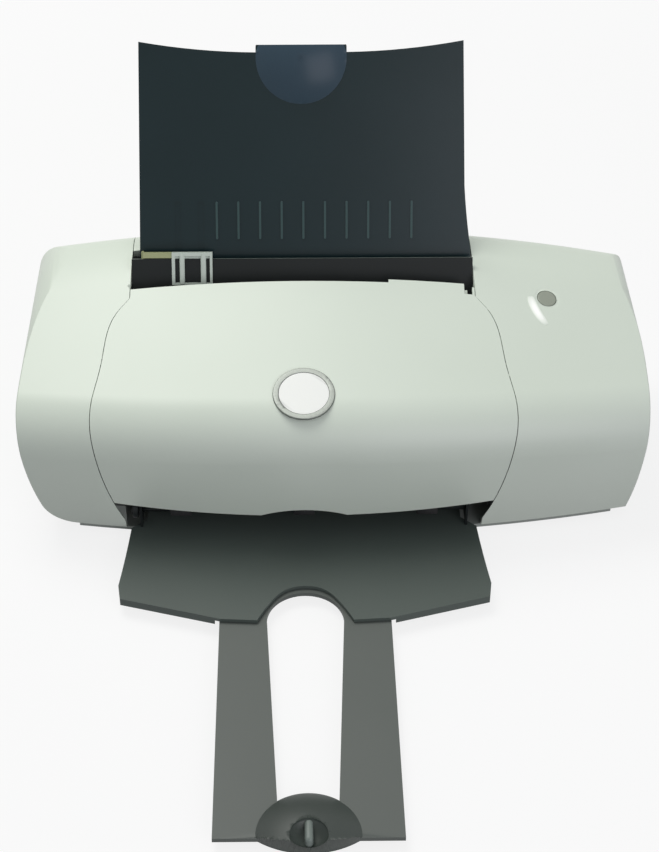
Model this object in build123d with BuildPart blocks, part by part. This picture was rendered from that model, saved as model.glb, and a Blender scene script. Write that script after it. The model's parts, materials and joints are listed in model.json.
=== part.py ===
from build123d import *
import os
from math import acos, asin, atan2, cos, degrees, hypot, pi, radians, sin, sqrt, tan

# A desk-top ink-jet photo printer. All sizes are in millimetres.
# x runs across the paper from its centre line, y runs back from the printer's front,
# and z is the height over the table. The datum below puts the origin of the finished
# model under the middle of its outline.

# Housing
left_reach = 191.8          # paper centre line to the outermost left side
right_reach = 233.4         # paper centre line to the outermost right side
skirt_height = 8.0          # lower edge of the white shells over the table
wall = 2.6                  # thickness of the white shells
front_face = -15.0          # foremost line of the housing on the centre line
rear_face = 184.0           # flat back of the housing
front_radius = 850.0        # plan curve of the front
crown_radius = 1111.0       # curve of the top from side to side
top_slope = 17.0            # fall of the top towards the front, degrees
shoulder_radius = 38.0      # bend between the top and the front
lower_front_radius = 200.0  # tuck of the front below the shoulder
top_radius = 154.0          # bend between the sloping top and the crest
cover_rear_edge = 105.0     # rear edge of the access cover
cover_width = 320.0         # wider than the cover, for the sketch that outlines it
cover_edge_height = 144.0   # height of that edge on the centre line
rim_radius = 2.0            # rounding of the shells' outer rims
left_corner_radius = 45.0   # upper corners of the front view
right_corner_radius = 30.0
corner_height = 1.5         # height of the front view's upper line over the form's own crest
left_foot_inset = 17.8      # lower corners of the front view, in from its widest places
right_foot_inset = 8.2
left_foot_radius = 24.0     # rounding of the lower left corner
left_foot_floor = 17.3      # reach of that rounding along the floor
part_gap = 0.5              # seam between neighbouring shells
rest_gap = 0.3              # clearance between pieces that nearly touch
running_gap = 0.05          # radial clearance of a shaft in its hole
form_bottom = -20.0         # lower end of the housing form before it is trimmed

# Access cover
hinge_y = 104.0
hinge_z = 129.5
cover_open_angle = 42.0
seam_points = [(118.3, 8.5), (125.0, 15.0), (135.4, 59.6), (140.7, 109.0), (132.6, 133.0), (122.2, 151.0)]
cover_low_middle = 30.4     # lower edge of the cover on the centre line
cover_low_side = 39.0       # lower edge of the cover at its sides
cover_low_reach = 150.0
finger_notch_half = 32.0
finger_notch_rise = 6.4
hinge_pin_radius = 2.5
hinge_knuckle_radius = 5.2
hinge_arm_x = 108.0
hinge_arm_width = 5.0
cover_tab_left = 59.0       # raised tab of the cover's rear edge
cover_tab_right = 111.0
cover_tab_depth = 2.5
cover_notch_width = 5.5
cover_notch_depth = 6.0
rib_depth = 7.0
rib_width = 2.0
badge_y = 14.6
badge_ring_radius = 20.5
badge_disc_radius = 16.6
badge_recess = 0.8

# Paper path
path_y = 137.0              # the paper support's front face crosses the slot's mouth here
path_z = 148.0
path_lean = 27.0            # lean of the paper support from the vertical, degrees
stack_depth = 10.0          # room for the stack of paper
slot_half_width = 118.4     # inner walls of the two side covers beside the slot
slot_wall = 2.6
slot_wall_front = 96.0
slot_wall_low = 112.0
band_front = 143.0          # front edge of the rear cover's top band

# Paper support
support_thickness = 2.5
support_half_top = 110.5
support_half_low = 113.0
support_flare = 117.4
support_height = 142.0      # corner over the slot's mouth, along the slope
support_dip = 134.6
support_tail = 18.0
support_travel = 70.0
grip_half_width = 31.0
grip_top = 139.6
grip_centre = 131.0
grip_rise = 8.0
support_rib_pitch = 15.0
support_rib_count = 10
support_rib_first = -59.0

# Exit tray and extension
floor_under = 3.0           # underside of the chassis
floor_top = 6.0
slide_gap = 0.4
extension_thickness = 3.0
tray_thickness = 2.5
tray_back = 45.0
tray_front = 90.3           # tray edge beside the notch, forward of the datum line
tray_corner_y = 69.5
tray_half_inner = 108.0
tray_half_mouth = 118.3
tray_half_widest = 123.6
tray_corner_x = 121.8
tray_point_x = 55.5
tray_notch_half = 31.5
tray_notch_top = 58.5
tray_lip_depth = 3.2
extension_half = 56.0
extension_front = 265.0
extension_back = 44.0
extension_slot_back = 62.0
extension_slot_wide_y = 90.0
extension_slot_wide = 25.0
extension_slot_narrow = 18.2
extension_slot_front = 240.0
extension_travel = 165.0
pull_radius = 31.0
pull_rise = 10.0
pull_centre = 263.0
pull_bulge = 274.0
rail_inset = 0.5
rail_width = 2.5

# Mechanism
rod_y = 66.0
rod_z = 66.0
rod_radius = 4.0
sheet = 1.2                 # thickness of the steel frame
frame_left = 170.0
frame_right = 218.0
frame_plate_y = 76.0
frame_plate_low = 44.0
frame_plate_top = 72.0
carriage_home = 164.0
carriage_travel = 298.0
carriage_width = 62.0
carriage_front = 14.0
carriage_back = 60.0
carriage_low = 36.0
carriage_top = 78.0
carriage_wall = 1.6
nozzle_height = 33.5
latch_length = 26.0
latch_open_angle = 45.0
pulley_radius = 6.0
pulley_z = 50.0
motor_pulley_x = 206.0
idler_pulley_x = -158.5
belt_thickness = 1.1
belt_width = 4.0
belt_y = 68.5
feed_y = 70.0
feed_z = 24.0
feed_radius = 8.0
exit_y = 6.0
exit_z = 26.0
exit_radius = 6.0
pinch_radius = 4.0
star_radius = 4.2
pick_radius = 13.0
pick_along = -80.0
pick_reach = 2.5
side_plate_x = 110.5
side_plate_thickness = 1.5
gear_module = 0.8
gear_width = 5.0
gear_x = -124.5
feed_teeth = 36
lower_transfer_teeth = 24
upper_transfer_teeth = 30
pick_teeth = 30
pinion_teeth = 12
gear_backlash = 0.14
lower_transfer_angle = 38.0
pinion_angle = -10.0
feed_pulley_radius = 8.0
exit_pulley_radius = 6.0
exit_belt_x = -117.0
platen_top = 31.4

slope = radians(top_slope)
lean = radians(path_lean)

# Datum of the finished model, from the extreme sizes of the outline
support_reach = path_y + (support_height + 2) * sin(lean) + support_thickness / cos(lean)
datum_x = (left_reach - right_reach) / 2
datum_y = (pull_bulge - support_reach) / 2


def level(height):
    """A level plane at a height over the table."""
    return Plane((datum_x, datum_y, height))


def side(across):
    """An upright plane facing right. Sketches on it run in y and z."""
    return Plane(origin=(datum_x + across, datum_y, 0), x_dir=(0, 1, 0), z_dir=(1, 0, 0))


def upright(depth):
    """An upright plane facing the front. Sketches on it run in x and z."""
    return Plane(origin=(datum_x, datum_y + depth, 0), x_dir=(1, 0, 0), z_dir=(0, -1, 0))


def path_point(along, lift):
    """The y and z of a point on the paper path, up the slope and off its face."""
    y = path_y + along * sin(lean) - lift * cos(lean)
    z = path_z + along * cos(lean) + lift * sin(lean)
    return y, z


def on_path(lift, along=0.0):
    """A plane along the paper path. Sketches on it run in x and up the slope."""
    y, z = path_point(along, lift)
    return Plane(origin=(datum_x, datum_y + y, z), x_dir=(1, 0, 0), z_dir=(0, -cos(lean), sin(lean)))


def across_path(along, lift=0.0):
    """A plane square to the paper path, facing up the slope. Sketches on it run in x and lift."""
    y, z = path_point(along, lift)
    return Plane(origin=(datum_x, datum_y + y, z), x_dir=(-1, 0, 0), z_dir=(0, sin(lean), cos(lean)))


def front_at(x):
    """Foremost line of the housing at a station across it."""
    return front_face + x**2 / (2 * front_radius)


def drop_at(x):
    """Fall of the crowned top at a station across the housing."""
    return x**2 / (2 * crown_radius)


def top_at(x, y):
    """Height of the sloping top."""
    return cover_edge_height - drop_at(x) - tan(slope) * (cover_rear_edge - y)


def shoulder_at(x):
    """Height of the foremost line, where the shoulder ends and the tuck begins."""
    return top_at(x, front_at(x) + shoulder_radius) - shoulder_radius / cos(slope)


def tuck_at(x, z):
    """Depth of the front's inner face below the shoulder."""
    return front_at(x) + wall + lower_front_radius - sqrt(lower_front_radius**2 - (shoulder_at(x) - z) ** 2)


# Housing form: one side profile, drawn at several stations across the printer
def body_section(x, inset):
    shoulder_y = front_at(x) + shoulder_radius
    shoulder_z = shoulder_at(x)
    tuck = degrees(asin((shoulder_z - form_bottom) / lower_front_radius))
    crest_y = cover_rear_edge + top_radius * sin(slope)
    crest_z = top_at(x, cover_rear_edge) + top_radius * (1 - cos(slope))
    rear_radius = rear_face - crest_y
    with BuildSketch(side(x)) as section:
        with BuildLine():
            low = CenterArc((front_at(x) + lower_front_radius, shoulder_z), lower_front_radius, 180, tuck)
            bend = CenterArc((shoulder_y, shoulder_z), shoulder_radius, 90 + top_slope, 90 - top_slope)
            Line(bend @ 0, (cover_rear_edge, top_at(x, cover_rear_edge)))
            CenterArc((crest_y, crest_z - top_radius), top_radius, 90, top_slope)
            CenterArc((crest_y, crest_z - rear_radius), rear_radius, 0, 90)
            Line((rear_face, crest_z - rear_radius), (rear_face, form_bottom))
            Line((rear_face, form_bottom), low @ 1)
        make_face()
        if inset > 0:
            offset(amount=-inset, mode=Mode.REPLACE)
    return section.sketch


def crest_at(x):
    """Highest line of the form at a station across it."""
    return top_at(x, cover_rear_edge) + top_radius * (1 - cos(slope))


def front_view(inset):
    low_right = right_reach - right_foot_inset
    low_left = left_foot_inset - left_reach
    top_right = right_reach - 0.5
    top_left = 1.6 - left_reach
    with BuildSketch(upright(rear_face + 40)) as view:
        with BuildLine():
            right = ThreePointArc(
                (low_right, skirt_height), (right_reach - 0.3, 88), (top_right, crest_at(top_right) + corner_height)
            )
            top = ThreePointArc(
                right @ 1, (0, crest_at(0) + corner_height), (top_left, crest_at(top_left) + corner_height)
            )
            ThreePointArc(top @ 1, (1.3 - left_reach, 80), (low_left, skirt_height))
            Line((low_left, skirt_height), (low_right, skirt_height))
        make_face()
        fillet(view.vertices().sort_by(Axis.Y)[-2:].sort_by(Axis.X)[0], radius=left_corner_radius)
        fillet(view.vertices().sort_by(Axis.X)[-1], radius=right_corner_radius)
        fillet(view.vertices().sort_by(Axis.Y)[0:2].sort_by(Axis.X)[0], radius=left_foot_radius)
        if inset > 0:
            offset(amount=-inset, mode=Mode.REPLACE)
            with BuildLine():
                Polyline(
                    (low_left + left_foot_floor, form_bottom),
                    (low_right - inset, form_bottom),
                    (low_right - inset, skirt_height + inset + 0.1),
                    (low_left + left_foot_floor, skirt_height + inset + 0.1),
                    close=True,
                )
            make_face()
    return view.sketch


def housing_form(inset, rounding):
    with BuildPart() as form:
        for station in (-210, -120, 0, 120, 250):
            add(body_section(station, inset))
        loft()
        extrude(front_view(inset), amount=320, mode=Mode.INTERSECT)
        if rounding > 0:
            ends = form.edges().filter_by(lambda e: abs(e.center().X) > 130 and e.center().Z > skirt_height + 1)
            fillet(ends, radius=rounding)
    return form.part


def cover_swing(gap):
    """The space that the cover turns in: the seam's outline, turned about the hinge line."""
    start = radians(60)
    along = Plane(
        origin=(datum_x, datum_y + hinge_y, hinge_z), x_dir=(1, 0, 0), z_dir=(0, -sin(start), cos(start))
    )
    first = (seam_points[0][0] + gap, 0)
    last = (seam_points[-1][0] + gap - 1.5, 185)
    with BuildPart() as swing:
        with BuildSketch(along):
            with BuildLine():
                seam = Spline([(half + gap, reach) for half, reach in seam_points])
                Line(first, seam @ 0)
                Line(seam @ 1, last)
                Line(last, (0, 185))
                Line((0, 185), (0, 0))
                Line((0, 0), first)
            make_face()
            mirror(about=Plane.YZ)
        revolve(axis=Axis((datum_x, datum_y + hinge_y, hinge_z), (1, 0, 0)), revolution_arc=200)
    return swing.part


housing_outer = housing_form(0.0, rim_radius)
housing_inner = housing_form(wall, 0.0)
rib_floor = housing_form(wall + rib_depth, 0.0)

# Access cover: a shell of the housing's own form, with ribs and two hinge arms inside
badge_plane = Plane(
    origin=(datum_x, datum_y + badge_y, top_at(0, badge_y)), x_dir=(1, 0, 0), z_dir=(0, -sin(slope), cos(slope))
)
with BuildPart() as access_cover:
    add(housing_outer)
    add(housing_inner, mode=Mode.SUBTRACT)
    with BuildPart(mode=Mode.PRIVATE) as cover_ribs:
        add(housing_inner)
        add(rib_floor, mode=Mode.SUBTRACT)
        with BuildSketch(level(skirt_height)):
            for rib_x in (-96, -58, 58, 96):
                with Locations((rib_x, 52)):
                    Rectangle(rib_width, 72)
        extrude(amount=180, mode=Mode.INTERSECT)
    add(cover_ribs.part)
    add(cover_swing(-part_gap / 2), mode=Mode.INTERSECT)
    with BuildSketch(level(0)):
        with Locations((0, (cover_rear_edge - cover_width) / 2)):
            Rectangle(cover_width, cover_rear_edge + cover_width)
        with Locations(((cover_tab_left + cover_tab_right) / 2, cover_rear_edge)):
            Rectangle(cover_tab_right - cover_tab_left, 2 * cover_tab_depth)
        with Locations((cover_tab_right + cover_notch_width / 2, cover_rear_edge)):
            Rectangle(cover_notch_width, 2 * cover_notch_depth, mode=Mode.SUBTRACT)
    extrude(amount=240, mode=Mode.INTERSECT)
    for hand in (-1, 1):
        with BuildSketch(side(hand * (hinge_arm_x + hinge_arm_width / 2) - hinge_arm_width / 2)):
            with Locations((hinge_y, hinge_z)):
                Circle(hinge_knuckle_radius)
            with BuildLine():
                Polyline(
                    (hinge_y + hinge_knuckle_radius, hinge_z),
                    (hinge_y - 1, top_at(hinge_arm_x, hinge_y - 1) - wall / 2),
                    (hinge_y - 22, top_at(hinge_arm_x, hinge_y - 22) - wall / 2),
                    (hinge_y - hinge_knuckle_radius, hinge_z - 1),
                    close=True,
                )
            make_face()
            with Locations((hinge_y, hinge_z)):
                Circle(hinge_pin_radius + running_gap, mode=Mode.SUBTRACT)
        extrude(amount=hinge_arm_width)
    with BuildSketch(upright(60)):
        with BuildLine():
            low = ThreePointArc(
                (-cover_low_reach, cover_low_side), (0, cover_low_middle), (cover_low_reach, cover_low_side)
            )
            Line(low @ 1, (cover_low_reach, 0))
            Line((cover_low_reach, 0), (-cover_low_reach, 0))
            Line((-cover_low_reach, 0), low @ 0)
        make_face()
        with BuildLine():
            notch = ThreePointArc(
                (-finger_notch_half, cover_low_middle - 1),
                (0, cover_low_middle + finger_notch_rise),
                (finger_notch_half, cover_low_middle - 1),
            )
            Line(notch @ 1, notch @ 0)
        make_face()
    extrude(amount=120, mode=Mode.SUBTRACT)
    with BuildSketch(badge_plane.offset(-badge_recess)):
        Circle(badge_ring_radius + rest_gap / 2)
    extrude(amount=6, mode=Mode.SUBTRACT)
access_cover.part.label = "access_cover"

# Badge: a plain ring round a bare disc
with BuildPart() as badge_ring:
    with BuildSketch(badge_plane.offset(-badge_recess)):
        Circle(badge_ring_radius)
        Circle(badge_disc_radius, mode=Mode.SUBTRACT)
    extrude(amount=badge_recess + 0.9)
    fillet(badge_ring.edges().sort_by(Axis(badge_plane.origin, badge_plane.z_dir))[-2:], radius=0.5)
badge_ring.part.label = "badge_ring"

with BuildPart() as badge_disc:
    with BuildSketch(badge_plane.offset(-badge_recess)):
        Circle(badge_disc_radius - rest_gap / 4)
    extrude(amount=badge_recess + 0.6)
badge_disc.part.label = "badge_disc"

# Side covers: the white ends of the housing, each with a wall beside the paper slot
button_x = 168.4
button_y = 102.5
button_radius = 6.6
button_gap = 0.3
button_stroke = 1.2
dish_radius = 40.0
dish_depth = 1.3
across_slope = atan2(-button_x / crown_radius, 1.0)
button_normal = Vector(-sin(across_slope), -sin(slope), cos(slope)).normalized()
button_plane = Plane(
    origin=(datum_x + button_x, datum_y + button_y, top_at(button_x, button_y)),
    x_dir=Vector(1, 0, 0).cross(button_normal).cross(button_normal) * -1,
    z_dir=button_normal,
)
boss_reach = 7.0
screw_radius = 1.5
screw_boss_radius = 4.2
boss_y = rear_face - wall - screw_boss_radius + 0.8
boss_places = {-1: 147.0, 1: 196.0}


def side_cover(hand):
    far = 300
    with BuildPart() as cover:
        add(housing_outer)
        add(housing_inner, mode=Mode.SUBTRACT)
        with BuildPart(mode=Mode.PRIVATE) as slot_side:
            add(housing_outer)
            with BuildSketch(side(hand * (slot_half_width + slot_wall / 2) - slot_wall / 2)):
                with Locations(((slot_wall_front + 152) / 2, (slot_wall_low + 170) / 2)):
                    Rectangle(152 - slot_wall_front, 170 - slot_wall_low)
            extrude(amount=slot_wall, mode=Mode.INTERSECT)
        add(slot_side.part)
        with BuildSketch(side(hand * slot_half_width)):
            with Locations((hinge_y, hinge_z)):
                Circle(hinge_knuckle_radius)
        extrude(amount=hand * 8)
        with BuildSketch(level(skirt_height)):
            with Locations((hand * boss_places[hand], boss_y)):
                Circle(screw_boss_radius)
        extrude(amount=30)
        with BuildSketch(level(skirt_height - 1)):
            with Locations((hand * (slot_half_width + far / 2), 60)):
                Rectangle(far, 400)
        extrude(amount=240, mode=Mode.INTERSECT)
        add(cover_swing(part_gap / 2), mode=Mode.SUBTRACT)
        with BuildSketch(level(skirt_height)):
            with Locations((hand * boss_places[hand], boss_y)):
                Circle(screw_radius)
        extrude(amount=26, mode=Mode.SUBTRACT)
        with BuildSketch(side(hand * slot_half_width)):
            with Locations((hinge_y, hinge_z)):
                Circle(hinge_pin_radius)
        extrude(amount=hand * 6, mode=Mode.SUBTRACT)
    return cover.part


with BuildPart() as left_side_cover:
    add(side_cover(-1))
left_side_cover.part.label = "left_side_cover"

with BuildPart() as right_side_cover:
    add(side_cover(1))
    with BuildSketch(button_plane.offset(-boss_reach)):
        Circle(button_radius + 3)
    extrude(amount=boss_reach - wall / 2)
    with Locations(button_plane.offset(dish_radius - dish_depth)):
        Sphere(dish_radius, mode=Mode.SUBTRACT)
    with BuildSketch(button_plane.offset(-boss_reach - 1)):
        Circle(button_radius + button_gap)
    extrude(amount=boss_reach + 6, mode=Mode.SUBTRACT)
right_side_cover.part.label = "right_side_cover"

# Power button, the board that it presses on and the light beside it
with BuildPart() as power_button:
    with BuildSketch(button_plane.offset(-boss_reach + button_stroke + rest_gap)):
        Circle(button_radius)
    extrude(amount=boss_reach - button_stroke - rest_gap - 0.4)
    fillet(power_button.edges().sort_by(Axis(button_plane.origin, button_plane.z_dir))[-1], radius=0.8)
power_button.part.label = "power_button"

with BuildPart() as button_board:
    with BuildSketch(button_plane.offset(-boss_reach - 1.6)):
        RectangleRounded(26, 22, 2)
    extrude(amount=1.6)
    with BuildSketch(button_plane.offset(-boss_reach)):
        Rectangle(6, 6)
    extrude(amount=0.2)
button_board.part.label = "button_board"

# Hinge pins of the access cover, one pressed into each side cover
pin_inner = hinge_arm_x - 1
pin_outer = slot_half_width + 6
with BuildPart() as cover_hinge_pins:
    for hand in (-1, 1):
        with BuildSketch(side(hand * pin_inner)):
            with Locations((hinge_y, hinge_z)):
                Circle(hinge_pin_radius)
        extrude(amount=hand * (pin_outer - pin_inner))
cover_hinge_pins.part.label = "cover_hinge_pins"

# Rear cover: the back and the band behind the paper slot, with two socket openings
usb_x = 62.0
usb_z = 34.0
usb_width = 12.0
usb_height = 11.0
inlet_x = 92.0
inlet_z = 34.0
inlet_width = 16.0
inlet_height = 13.0
board_back = 171.0
board_posts = ((-12, 34), (-12, 84), (100, 56))
rear_half = slot_half_width - part_gap
with BuildPart() as rear_cover:
    add(housing_outer)
    add(housing_inner, mode=Mode.SUBTRACT)
    with BuildSketch(level(skirt_height - 1)):
        with Locations((0, (band_front + rear_face + 20) / 2)):
            Rectangle(2 * rear_half, rear_face + 20 - band_front)
    extrude(amount=240, mode=Mode.INTERSECT)
    with BuildPart(mode=Mode.PRIVATE) as band_lip:
        add(housing_outer)
        with BuildSketch(level(134)):
            with Locations((0, band_front + 1.1)):
                Rectangle(2 * rear_half, 2.2)
        extrude(amount=30, mode=Mode.INTERSECT)
    add(band_lip.part)
    with BuildSketch(upright(rear_face - wall / 2)):
        with Locations(*board_posts):
            Circle(3.5)
    extrude(amount=rear_face - wall / 2 - board_back)
    for rib_x in (-90, -45, 45, 105):
        with BuildSketch(upright(rear_face - wall / 2)):
            with Locations((rib_x, 74)):
                Rectangle(rib_width, 84)
        extrude(amount=wall / 2 + 4)
    with BuildSketch(upright(rear_face + 1)):
        with Locations((usb_x, usb_z)):
            Rectangle(usb_width + 2 * rest_gap, usb_height + 2 * rest_gap)
        with Locations((inlet_x, inlet_z)):
            Rectangle(inlet_width + 2 * rest_gap, inlet_height + 2 * rest_gap)
    extrude(amount=20, mode=Mode.SUBTRACT)
rear_cover.part.label = "rear_cover"

# Sockets on the control board. Each is an open box that the plug goes into.
socket_depth = 12.0
with BuildPart() as usb_socket:
    with BuildSketch(upright(rear_face)):
        with Locations((usb_x, usb_z)):
            Rectangle(usb_width, usb_height)
    extrude(amount=rear_face - board_back)
    with BuildSketch(upright(rear_face)):
        with Locations((usb_x, usb_z)):
            Rectangle(usb_width - 3, usb_height - 2.6)
    extrude(amount=socket_depth - 3, mode=Mode.SUBTRACT)
usb_socket.part.label = "usb_socket"

with BuildPart() as power_inlet:
    with BuildSketch(upright(rear_face)):
        with Locations((inlet_x, inlet_z)):
            Rectangle(inlet_width, inlet_height)
    extrude(amount=rear_face - board_back)
    with BuildSketch(upright(rear_face)):
        with Locations((inlet_x, inlet_z)):
            RectangleRounded(inlet_width - 4, inlet_height - 4, 2)
    extrude(amount=socket_depth - 3, mode=Mode.SUBTRACT)
power_inlet.part.label = "power_inlet"

board_left = -20.0
board_right = 108.0
with BuildPart() as control_board:
    with BuildSketch(upright(board_back)):
        with Locations(((board_left + board_right) / 2, 56)):
            Rectangle(board_right - board_left, 78)
    extrude(amount=1.6)
    with BuildSketch(upright(board_back - 1.6)):
        with Locations((20, 60)):
            Rectangle(24, 24)
        with Locations((62, 66), (78, 66)):
            Rectangle(10, 16)
    extrude(amount=2)
    with BuildSketch(upright(board_back - 1.6)):
        with Locations((92, 60), (92, 74), (-6, 44)):
            Circle(4)
    extrude(amount=9)
control_board.part.label = "control_board"

# Chassis: a ribbed pan that everything stands on
pan_left = left_foot_inset + left_foot_floor - left_reach + 1.2
pan_right = right_reach - 18.5
pan_back = rear_face - wall - part_gap
pan_clearance = 1.2
pan_wall = 2.2
pan_wall_top = 24.0
pan_wall_low = 10.5
pedestal_left = 20.0
pedestal_right = 12.0
ledge_thickness = 2.5
foot_places = ((-146, 44), (-146, 160), (196, 50), (196, 160))


def pan_outline(inset):
    """Plan of the chassis, which follows the front's curve under the side covers."""
    with BuildSketch(level(floor_under)) as plan:
        with BuildLine():
            curve = ThreePointArc(
                (pan_left + inset, tuck_at(pan_left, skirt_height) + pan_clearance + inset),
                (0, tuck_at(0, skirt_height) + pan_clearance + inset),
                (pan_right - inset, tuck_at(pan_right, skirt_height) + pan_clearance + inset),
            )
            Line(curve @ 1, (pan_right - inset, pan_back - inset))
            Line((pan_right - inset, pan_back - inset), (pan_left + inset, pan_back - inset))
            Line((pan_left + inset, pan_back - inset), curve @ 0)
        make_face()
    return plan.sketch


with BuildPart() as base_chassis:
    extrude(pan_outline(0), amount=pan_wall_top - floor_under)
    with BuildPart(mode=Mode.PRIVATE) as pan_hollow:
        extrude(pan_outline(pan_wall), amount=60)
    add(pan_hollow.part.moved(Location((0, 0, floor_top - floor_under))), mode=Mode.SUBTRACT)
    with BuildSketch(level(floor_top)):
        with Locations((0, 0)):
            Rectangle(2 * (tray_half_mouth + 4), 60)
    extrude(amount=60, mode=Mode.SUBTRACT)
    # lowered front wall under the service sled
    with BuildSketch(level(pan_wall_low)):
        with Locations((172, 20)):
            Rectangle(100, 40)
    extrude(amount=60, mode=Mode.SUBTRACT)
    # rails that guide the tray extension
    with BuildSketch(level(floor_top)):
        for hand in (-1, 1):
            with Locations((hand * (extension_half + rail_inset + rail_width / 2), 86)):
                Rectangle(rail_width, 150)
    extrude(amount=slide_gap + extension_thickness + slide_gap)
    # stiffening ribs of the floor beside the rails
    with BuildSketch(level(floor_top)):
        for rib_y in (128, 160):
            for rib_x, length in ((-130, 50), (166, 96)):
                with Locations((rib_x, rib_y)):
                    Rectangle(length, 2)
    extrude(amount=5)
    # a ledge and a pedestal under the ends of the steel frame
    with BuildSketch(level(pedestal_left - ledge_thickness)):
        with Locations(((pan_left - frame_left) / 2, 64)):
            Rectangle(frame_left + pan_left + 3, 26)
    extrude(amount=ledge_thickness)
    with BuildSketch(level(floor_top)):
        with Locations((frame_right - 5, 64)):
            Rectangle(12, 26)
    extrude(amount=pedestal_right - floor_top)
    with BuildSketch(level(0)):
        for hand in (-1, 1):
            with Locations((hand * boss_places[hand], boss_y)):
                Rectangle(11, 11)
    extrude(amount=40, mode=Mode.SUBTRACT)
    with BuildSketch(level(floor_under)):
        for hand in (-1, 1):
            with Locations((hand * boss_places[hand], boss_y - 1.8)):
                Rectangle(14, 12)
            with Locations((hand * boss_places[hand], boss_y)):
                Circle(screw_radius + 0.1, mode=Mode.SUBTRACT)
    extrude(amount=skirt_height - floor_under - 0.1)
base_chassis.part.label = "base_chassis"

with BuildPart() as rubber_feet:
    with BuildSketch(level(0)):
        with Locations(*foot_places):
            Circle(8)
    extrude(amount=floor_under)
    chamfer(rubber_feet.edges().group_by(Axis.Z)[0], length=0.8)
rubber_feet.part.label = "rubber_feet"

with BuildPart() as chassis_screws:
    with BuildSketch(level(floor_under - 1.6)):
        for hand in (-1, 1):
            with Locations((hand * boss_places[hand], boss_y)):
                Circle(3)
    extrude(amount=1.6)
    with BuildSketch(level(floor_under)):
        for hand in (-1, 1):
            with Locations((hand * boss_places[hand], boss_y)):
                Circle(screw_radius)
    extrude(amount=22)
    with BuildSketch(level(floor_under - 1.6)):
        for hand in (-1, 1):
            with Locations((hand * boss_places[hand], boss_y)):
                Rectangle(0.8, 4)
                Rectangle(4, 0.8)
    extrude(amount=0.9, mode=Mode.SUBTRACT)
chassis_screws.part.label = "chassis_screws"

# Exit tray: a plate with turned-down edges and a pointed notch for the pull of its extension
extension_low = floor_top + slide_gap
extension_top = extension_low + extension_thickness
tray_low = extension_top + slide_gap
tray_top = tray_low + tray_thickness


def tray_outline(inset):
    with BuildSketch(level(tray_low)) as plan:
        with BuildLine():
            mouth = Line((tray_half_inner - inset, tray_back), (tray_half_inner - inset, 9))
            step = Line(mouth @ 1, (tray_half_mouth - inset, 0))
            flank = ThreePointArc(
                step @ 1,
                (tray_half_mouth + 2.6 - inset, -32),
                (tray_half_widest - inset, -57),
            )
            corner = Line(flank @ 1, (tray_corner_x - inset, -tray_corner_y + inset))
            front = Line(corner @ 1, (tray_point_x, -tray_front + 1.5 + inset))
            tip = Line(front @ 1, (tray_notch_half + inset, -tray_front + inset))
            notch = Spline(
                [tip @ 1, (21.5 + inset, -71.5), (0, -tray_notch_top + inset)],
                tangents=[(-0.45, 1), (-1, 0)],
            )
            Line(notch @ 1, (0, tray_back))
            Line((0, tray_back), mouth @ 0)
        make_face()
        mirror(about=Plane.YZ)
    return plan.sketch


with BuildPart() as exit_tray:
    extrude(tray_outline(0), amount=tray_thickness)
    with BuildPart(mode=Mode.PRIVATE) as tray_lip:
        extrude(tray_outline(0).moved(Location((0, 0, -tray_lip_depth))), amount=tray_lip_depth)
        with BuildPart(mode=Mode.PRIVATE) as lip_hollow:
            extrude(tray_outline(2.2), amount=60)
        add(lip_hollow.part.moved(Location((0, 0, -30))), mode=Mode.SUBTRACT)
        with BuildSketch(level(0)):
            Rectangle(2 * (extension_half + 3), 260)
            with Locations((0, tray_back)):
                Rectangle(240, 2 * tray_back)
        extrude(amount=60, mode=Mode.SUBTRACT)
    add(tray_lip.part)
exit_tray.part.label = "exit_tray"

# Tray extension: two legs round a long window, joined by a domed pull
pull_sphere = (pull_radius**2 + pull_rise**2) / (2 * pull_rise)
with BuildPart() as tray_extension:
    with BuildSketch(level(extension_low)):
        with Locations((0, -(extension_front + extension_back) / 2)):
            Rectangle(2 * extension_half, extension_front - extension_back)
        with BuildLine():
            front = ThreePointArc(
                (-pull_radius, -extension_front + 1), (0, -pull_bulge), (pull_radius, -extension_front + 1)
            )
            Line(front @ 1, front @ 0)
        make_face()
        with BuildLine():
            arch = ThreePointArc(
                (-extension_slot_wide, -extension_slot_wide_y),
                (0, -extension_slot_back),
                (extension_slot_wide, -extension_slot_wide_y),
            )
            right = Line(arch @ 1, (extension_slot_narrow, -extension_slot_front))
            left = Line(arch @ 0, (-extension_slot_narrow, -extension_slot_front))
            Line(right @ 1, left @ 1)
        make_face(mode=Mode.SUBTRACT)
        with BuildLine():
            base = CenterArc((0, -pull_centre), pull_radius, 0, 180)
            Line(base @ 1, base @ 0)
        make_face()
    extrude(amount=extension_thickness)
    with BuildPart(mode=Mode.PRIVATE) as pull_dome:
        with Locations((datum_x, datum_y - pull_centre, extension_top + pull_rise - pull_sphere)):
            Sphere(pull_sphere)
        with BuildSketch(level(extension_top - 0.5)):
            with BuildLine():
                bulge = ThreePointArc(
                    (-pull_radius, -extension_front + 1), (0, -pull_bulge), (pull_radius, -extension_front + 1)
                )
                Polyline(bulge @ 1, (60, -extension_front + 1), (60, -200), (-60, -200), bulge @ 0)
            make_face()
        extrude(amount=40, mode=Mode.INTERSECT)
        # finger hollow with a rib down its middle
        with Locations((datum_x, datum_y - pull_centre - 7, extension_top + 15)):
            Sphere(13, mode=Mode.SUBTRACT)
        with BuildSketch(level(extension_top - 0.5)):
            with Locations((0, -pull_centre - 1)):
                Rectangle(2.4, 18)
        extrude(amount=7)
    add(pull_dome.part)
tray_extension.part.label = "tray_extension"

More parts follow.
